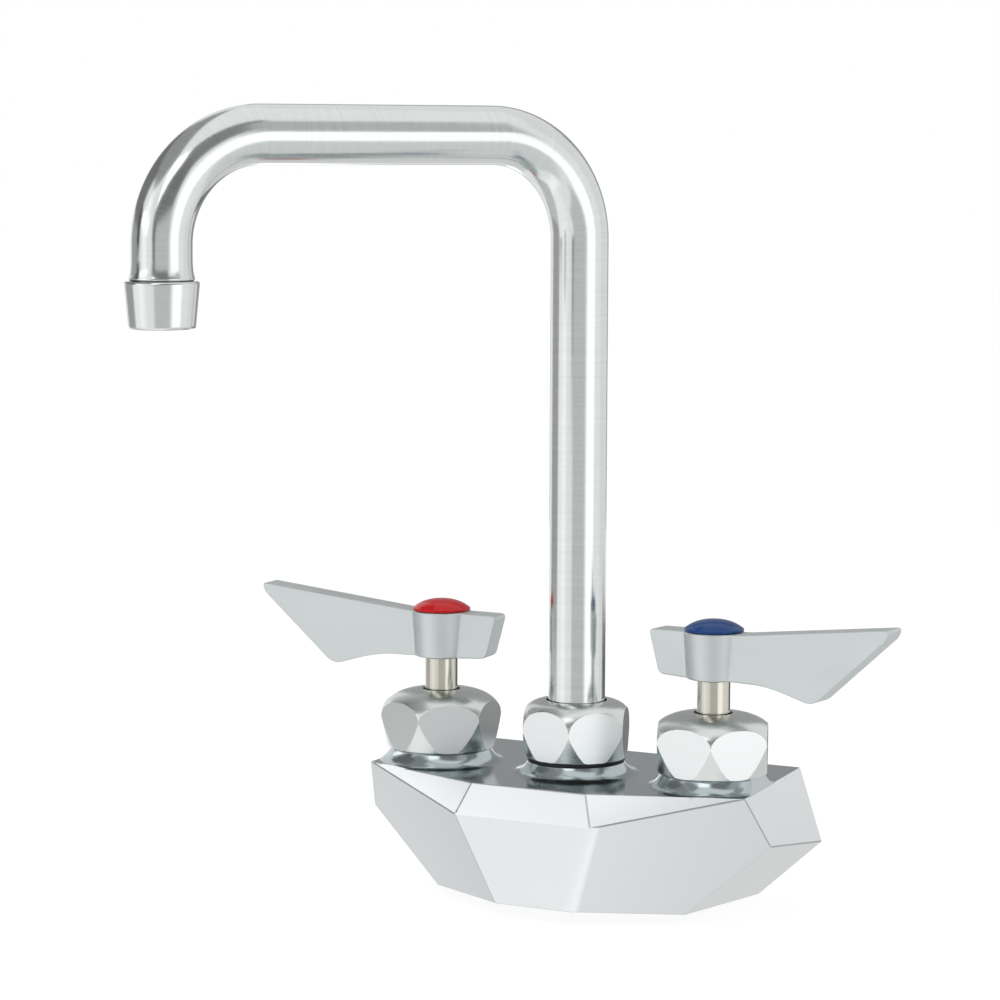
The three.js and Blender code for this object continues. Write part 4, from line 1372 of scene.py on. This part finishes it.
@dataclass
class Studio:
    """The pale floor, the soft boxes, the boards that only metal reflects, and the camera."""

    eye: Point3 = (509.746, -1067.123, 235.256)
    yaw: float = 27.7716
    pitch: float = 6.0857
    roll: float = 0.2607
    lens: float = 124.376
    sensor: float = 36.0
    floor_size: float = 12.0
    floor_z: float = -23.35
    floor_tone: float = 0.95
    floor_share: float = 0.8
    floor_glow: float = 1.09
    middle: Point3 = (0.0, -60.0, 90.0)
    ambient: float = 0.72
    box_distance: float = 1.3

    def facing(self, azimuth: float, elevation: float) -> Matrix:
        """The turn of something that looks at the faucet from a direction in degrees."""
        tilt = Matrix.Rotation(math.radians(90 - elevation), 4, "X")
        return Matrix.Rotation(math.radians(azimuth), 4, "Z") @ tilt

    def stand(self, azimuth: float, elevation: float, distance: float) -> Matrix:
        """The place of something that looks at the faucet from a distance in metres."""
        middle = Matrix.Translation(Vector(self.middle) * MM)
        return middle @ self.facing(azimuth, elevation) @ Matrix.Translation((0, 0, distance))

    def camera(self) -> None:
        """Sets up the camera at the photograph's place."""
        data = bpy.data.cameras.new("camera")
        data.lens, data.sensor_width = self.lens, self.sensor
        data.clip_start, data.clip_end = 0.01, 50
        turn = self.facing(self.yaw, self.pitch) @ Matrix.Rotation(math.radians(self.roll), 4, "Z")
        camera = bpy.data.objects.new("camera", data)
        camera.matrix_world = Matrix.Translation(Vector(self.eye) * MM) @ turn
        bpy.context.scene.collection.objects.link(camera)
        bpy.context.scene.camera = camera

    def world(self) -> None:
        """Lights the room evenly, and shows the camera and the metal a white background."""
        room = NodeSheet(bpy.data.worlds.new("room"))
        bpy.context.scene.world = room.owner
        kinds = ("Camera", "Glossy", "Transmission")
        rays = [room.add("ShaderNodeLightPath", f"Is {kind} Ray") for kind in kinds]
        seen = room.maths("MAXIMUM", room.maths("MAXIMUM", rays[0], rays[1]), rays[2])
        inputs = {"To Min": self.ambient, "To Max": 1.0, "Value": seen}
        level = room.add("ShaderNodeMapRange", "Result", inputs)
        room.feed(room.tree.nodes["Background"], {"Strength": level, "Color": (1, 1, 1, 1)})

    def panel(self, name: str, size: float, place: Matrix, sheet: NodeSheet, unseen: Sequence[str]) -> None:
        """Stands up a flat panel of the stage.

        Args:
            name: Its name.
            size: The length of its sides before it is placed, in metres.
            place: Its place, turn and scale.
            sheet: The nodes of its face.
            unseen: The kinds of rays that pass through it.
        """
        clear()
        bpy.ops.mesh.primitive_plane_add(size=size)
        panel = bpy.context.active_object
        panel.name = panel.data.name = name
        panel.matrix_world = place
        panel.data.materials.append(sheet.owner)
        for kind in unseen:
            setattr(panel, "visible_" + kind, False)

    def floor(self) -> None:
        """Lays a pale floor that fades into the background but keeps the shadow."""
        sheet = NodeSheet(bpy.data.materials.new("pale_floor"))
        sheet.shade(Base_Color=(*[self.floor_tone] * 3, 1), Roughness=0.9, Specular_IOR_Level=0.0)
        glow = sheet.add("ShaderNodeEmission", "Emission", {"Strength": self.floor_glow})
        seen = sheet.add("ShaderNodeLightPath", "Is Camera Ray")
        share = sheet.maths("MULTIPLY", seen, self.floor_share)
        pale = sheet.tree.nodes["Principled BSDF"].outputs["BSDF"]
        sheet.show(sheet.add("ShaderNodeMixShader", "Shader", {"Fac": share, 1: pale, 2: glow}))
        place = Matrix.Translation(UP * self.floor_z * MM)
        self.panel("floor", self.floor_size, place, sheet, ["glossy"])

    def soft_box(self, name: str, azimuth: float, elevation: float, size: Point2, level: float) -> None:
        """Hangs a soft box.

        Args:
            name: Its name.
            azimuth: Its direction, in degrees.
            elevation: Its height, in degrees.
            size: Its width and height, in metres.
            level: How bright its face is, where 1 is white.
        """
        data = bpy.data.lights.new(name, "AREA")
        data.shape = "RECTANGLE"
        data.size, data.size_y = size
        data.energy = level * math.pi * size[0] * size[1]
        lamp = bpy.data.objects.new(name, data)
        lamp.matrix_world = self.stand(azimuth, elevation, self.box_distance)
        lamp.visible_camera = lamp.visible_glossy = False
        bpy.context.scene.collection.objects.link(lamp)

    def board(self, board: Board) -> None:
        """Stands up a board, which only metal and glass see.

        Args:
            board: Where it stands and how bright it looks.
        """
        angles = (board.wide, board.high)
        wide, high = (2 * board.distance * math.tan(math.radians(angle) / 2) for angle in angles)
        stand = self.stand(board.azimuth, board.elevation, board.distance)
        sheet = NodeSheet(bpy.data.materials.new(board.name + "_face"))
        glow = {"Color": (1, 1, 1, 1), "Strength": board.tone}
        sheet.show(sheet.add("ShaderNodeEmission", "Emission", glow))
        unseen = ["camera", "diffuse", "shadow"]
        self.panel(board.name, 1, stand @ Matrix.Diagonal((wide, high, 1, 1)), sheet, unseen)

    def build(self) -> None:
        """Sets up camera, floor, light and boards."""
        self.camera()
        self.world()
        self.floor()
        self.soft_box("key_box", -30, 50, (1.2, 0.9), 1.6)
        self.soft_box("fill_box", 85, 35, (0.9, 0.9), 0.8)
        for board in BOARDS:
            self.board(board)
        bpy.context.scene.view_settings.view_transform = "Standard"
        log.info("studio is set up")


def main() -> None:
    """Builds the faucet from the body up and lights it."""
    logging.basicConfig(level=logging.INFO, format="%(name)s: %(message)s")
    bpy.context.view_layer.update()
    for assembly in (FacetedBody(), *map(Valve, Side), Spout(), InnerPieces(), Studio()):
        assembly.build()
    clear()


if __name__ == "__main__":
    main()
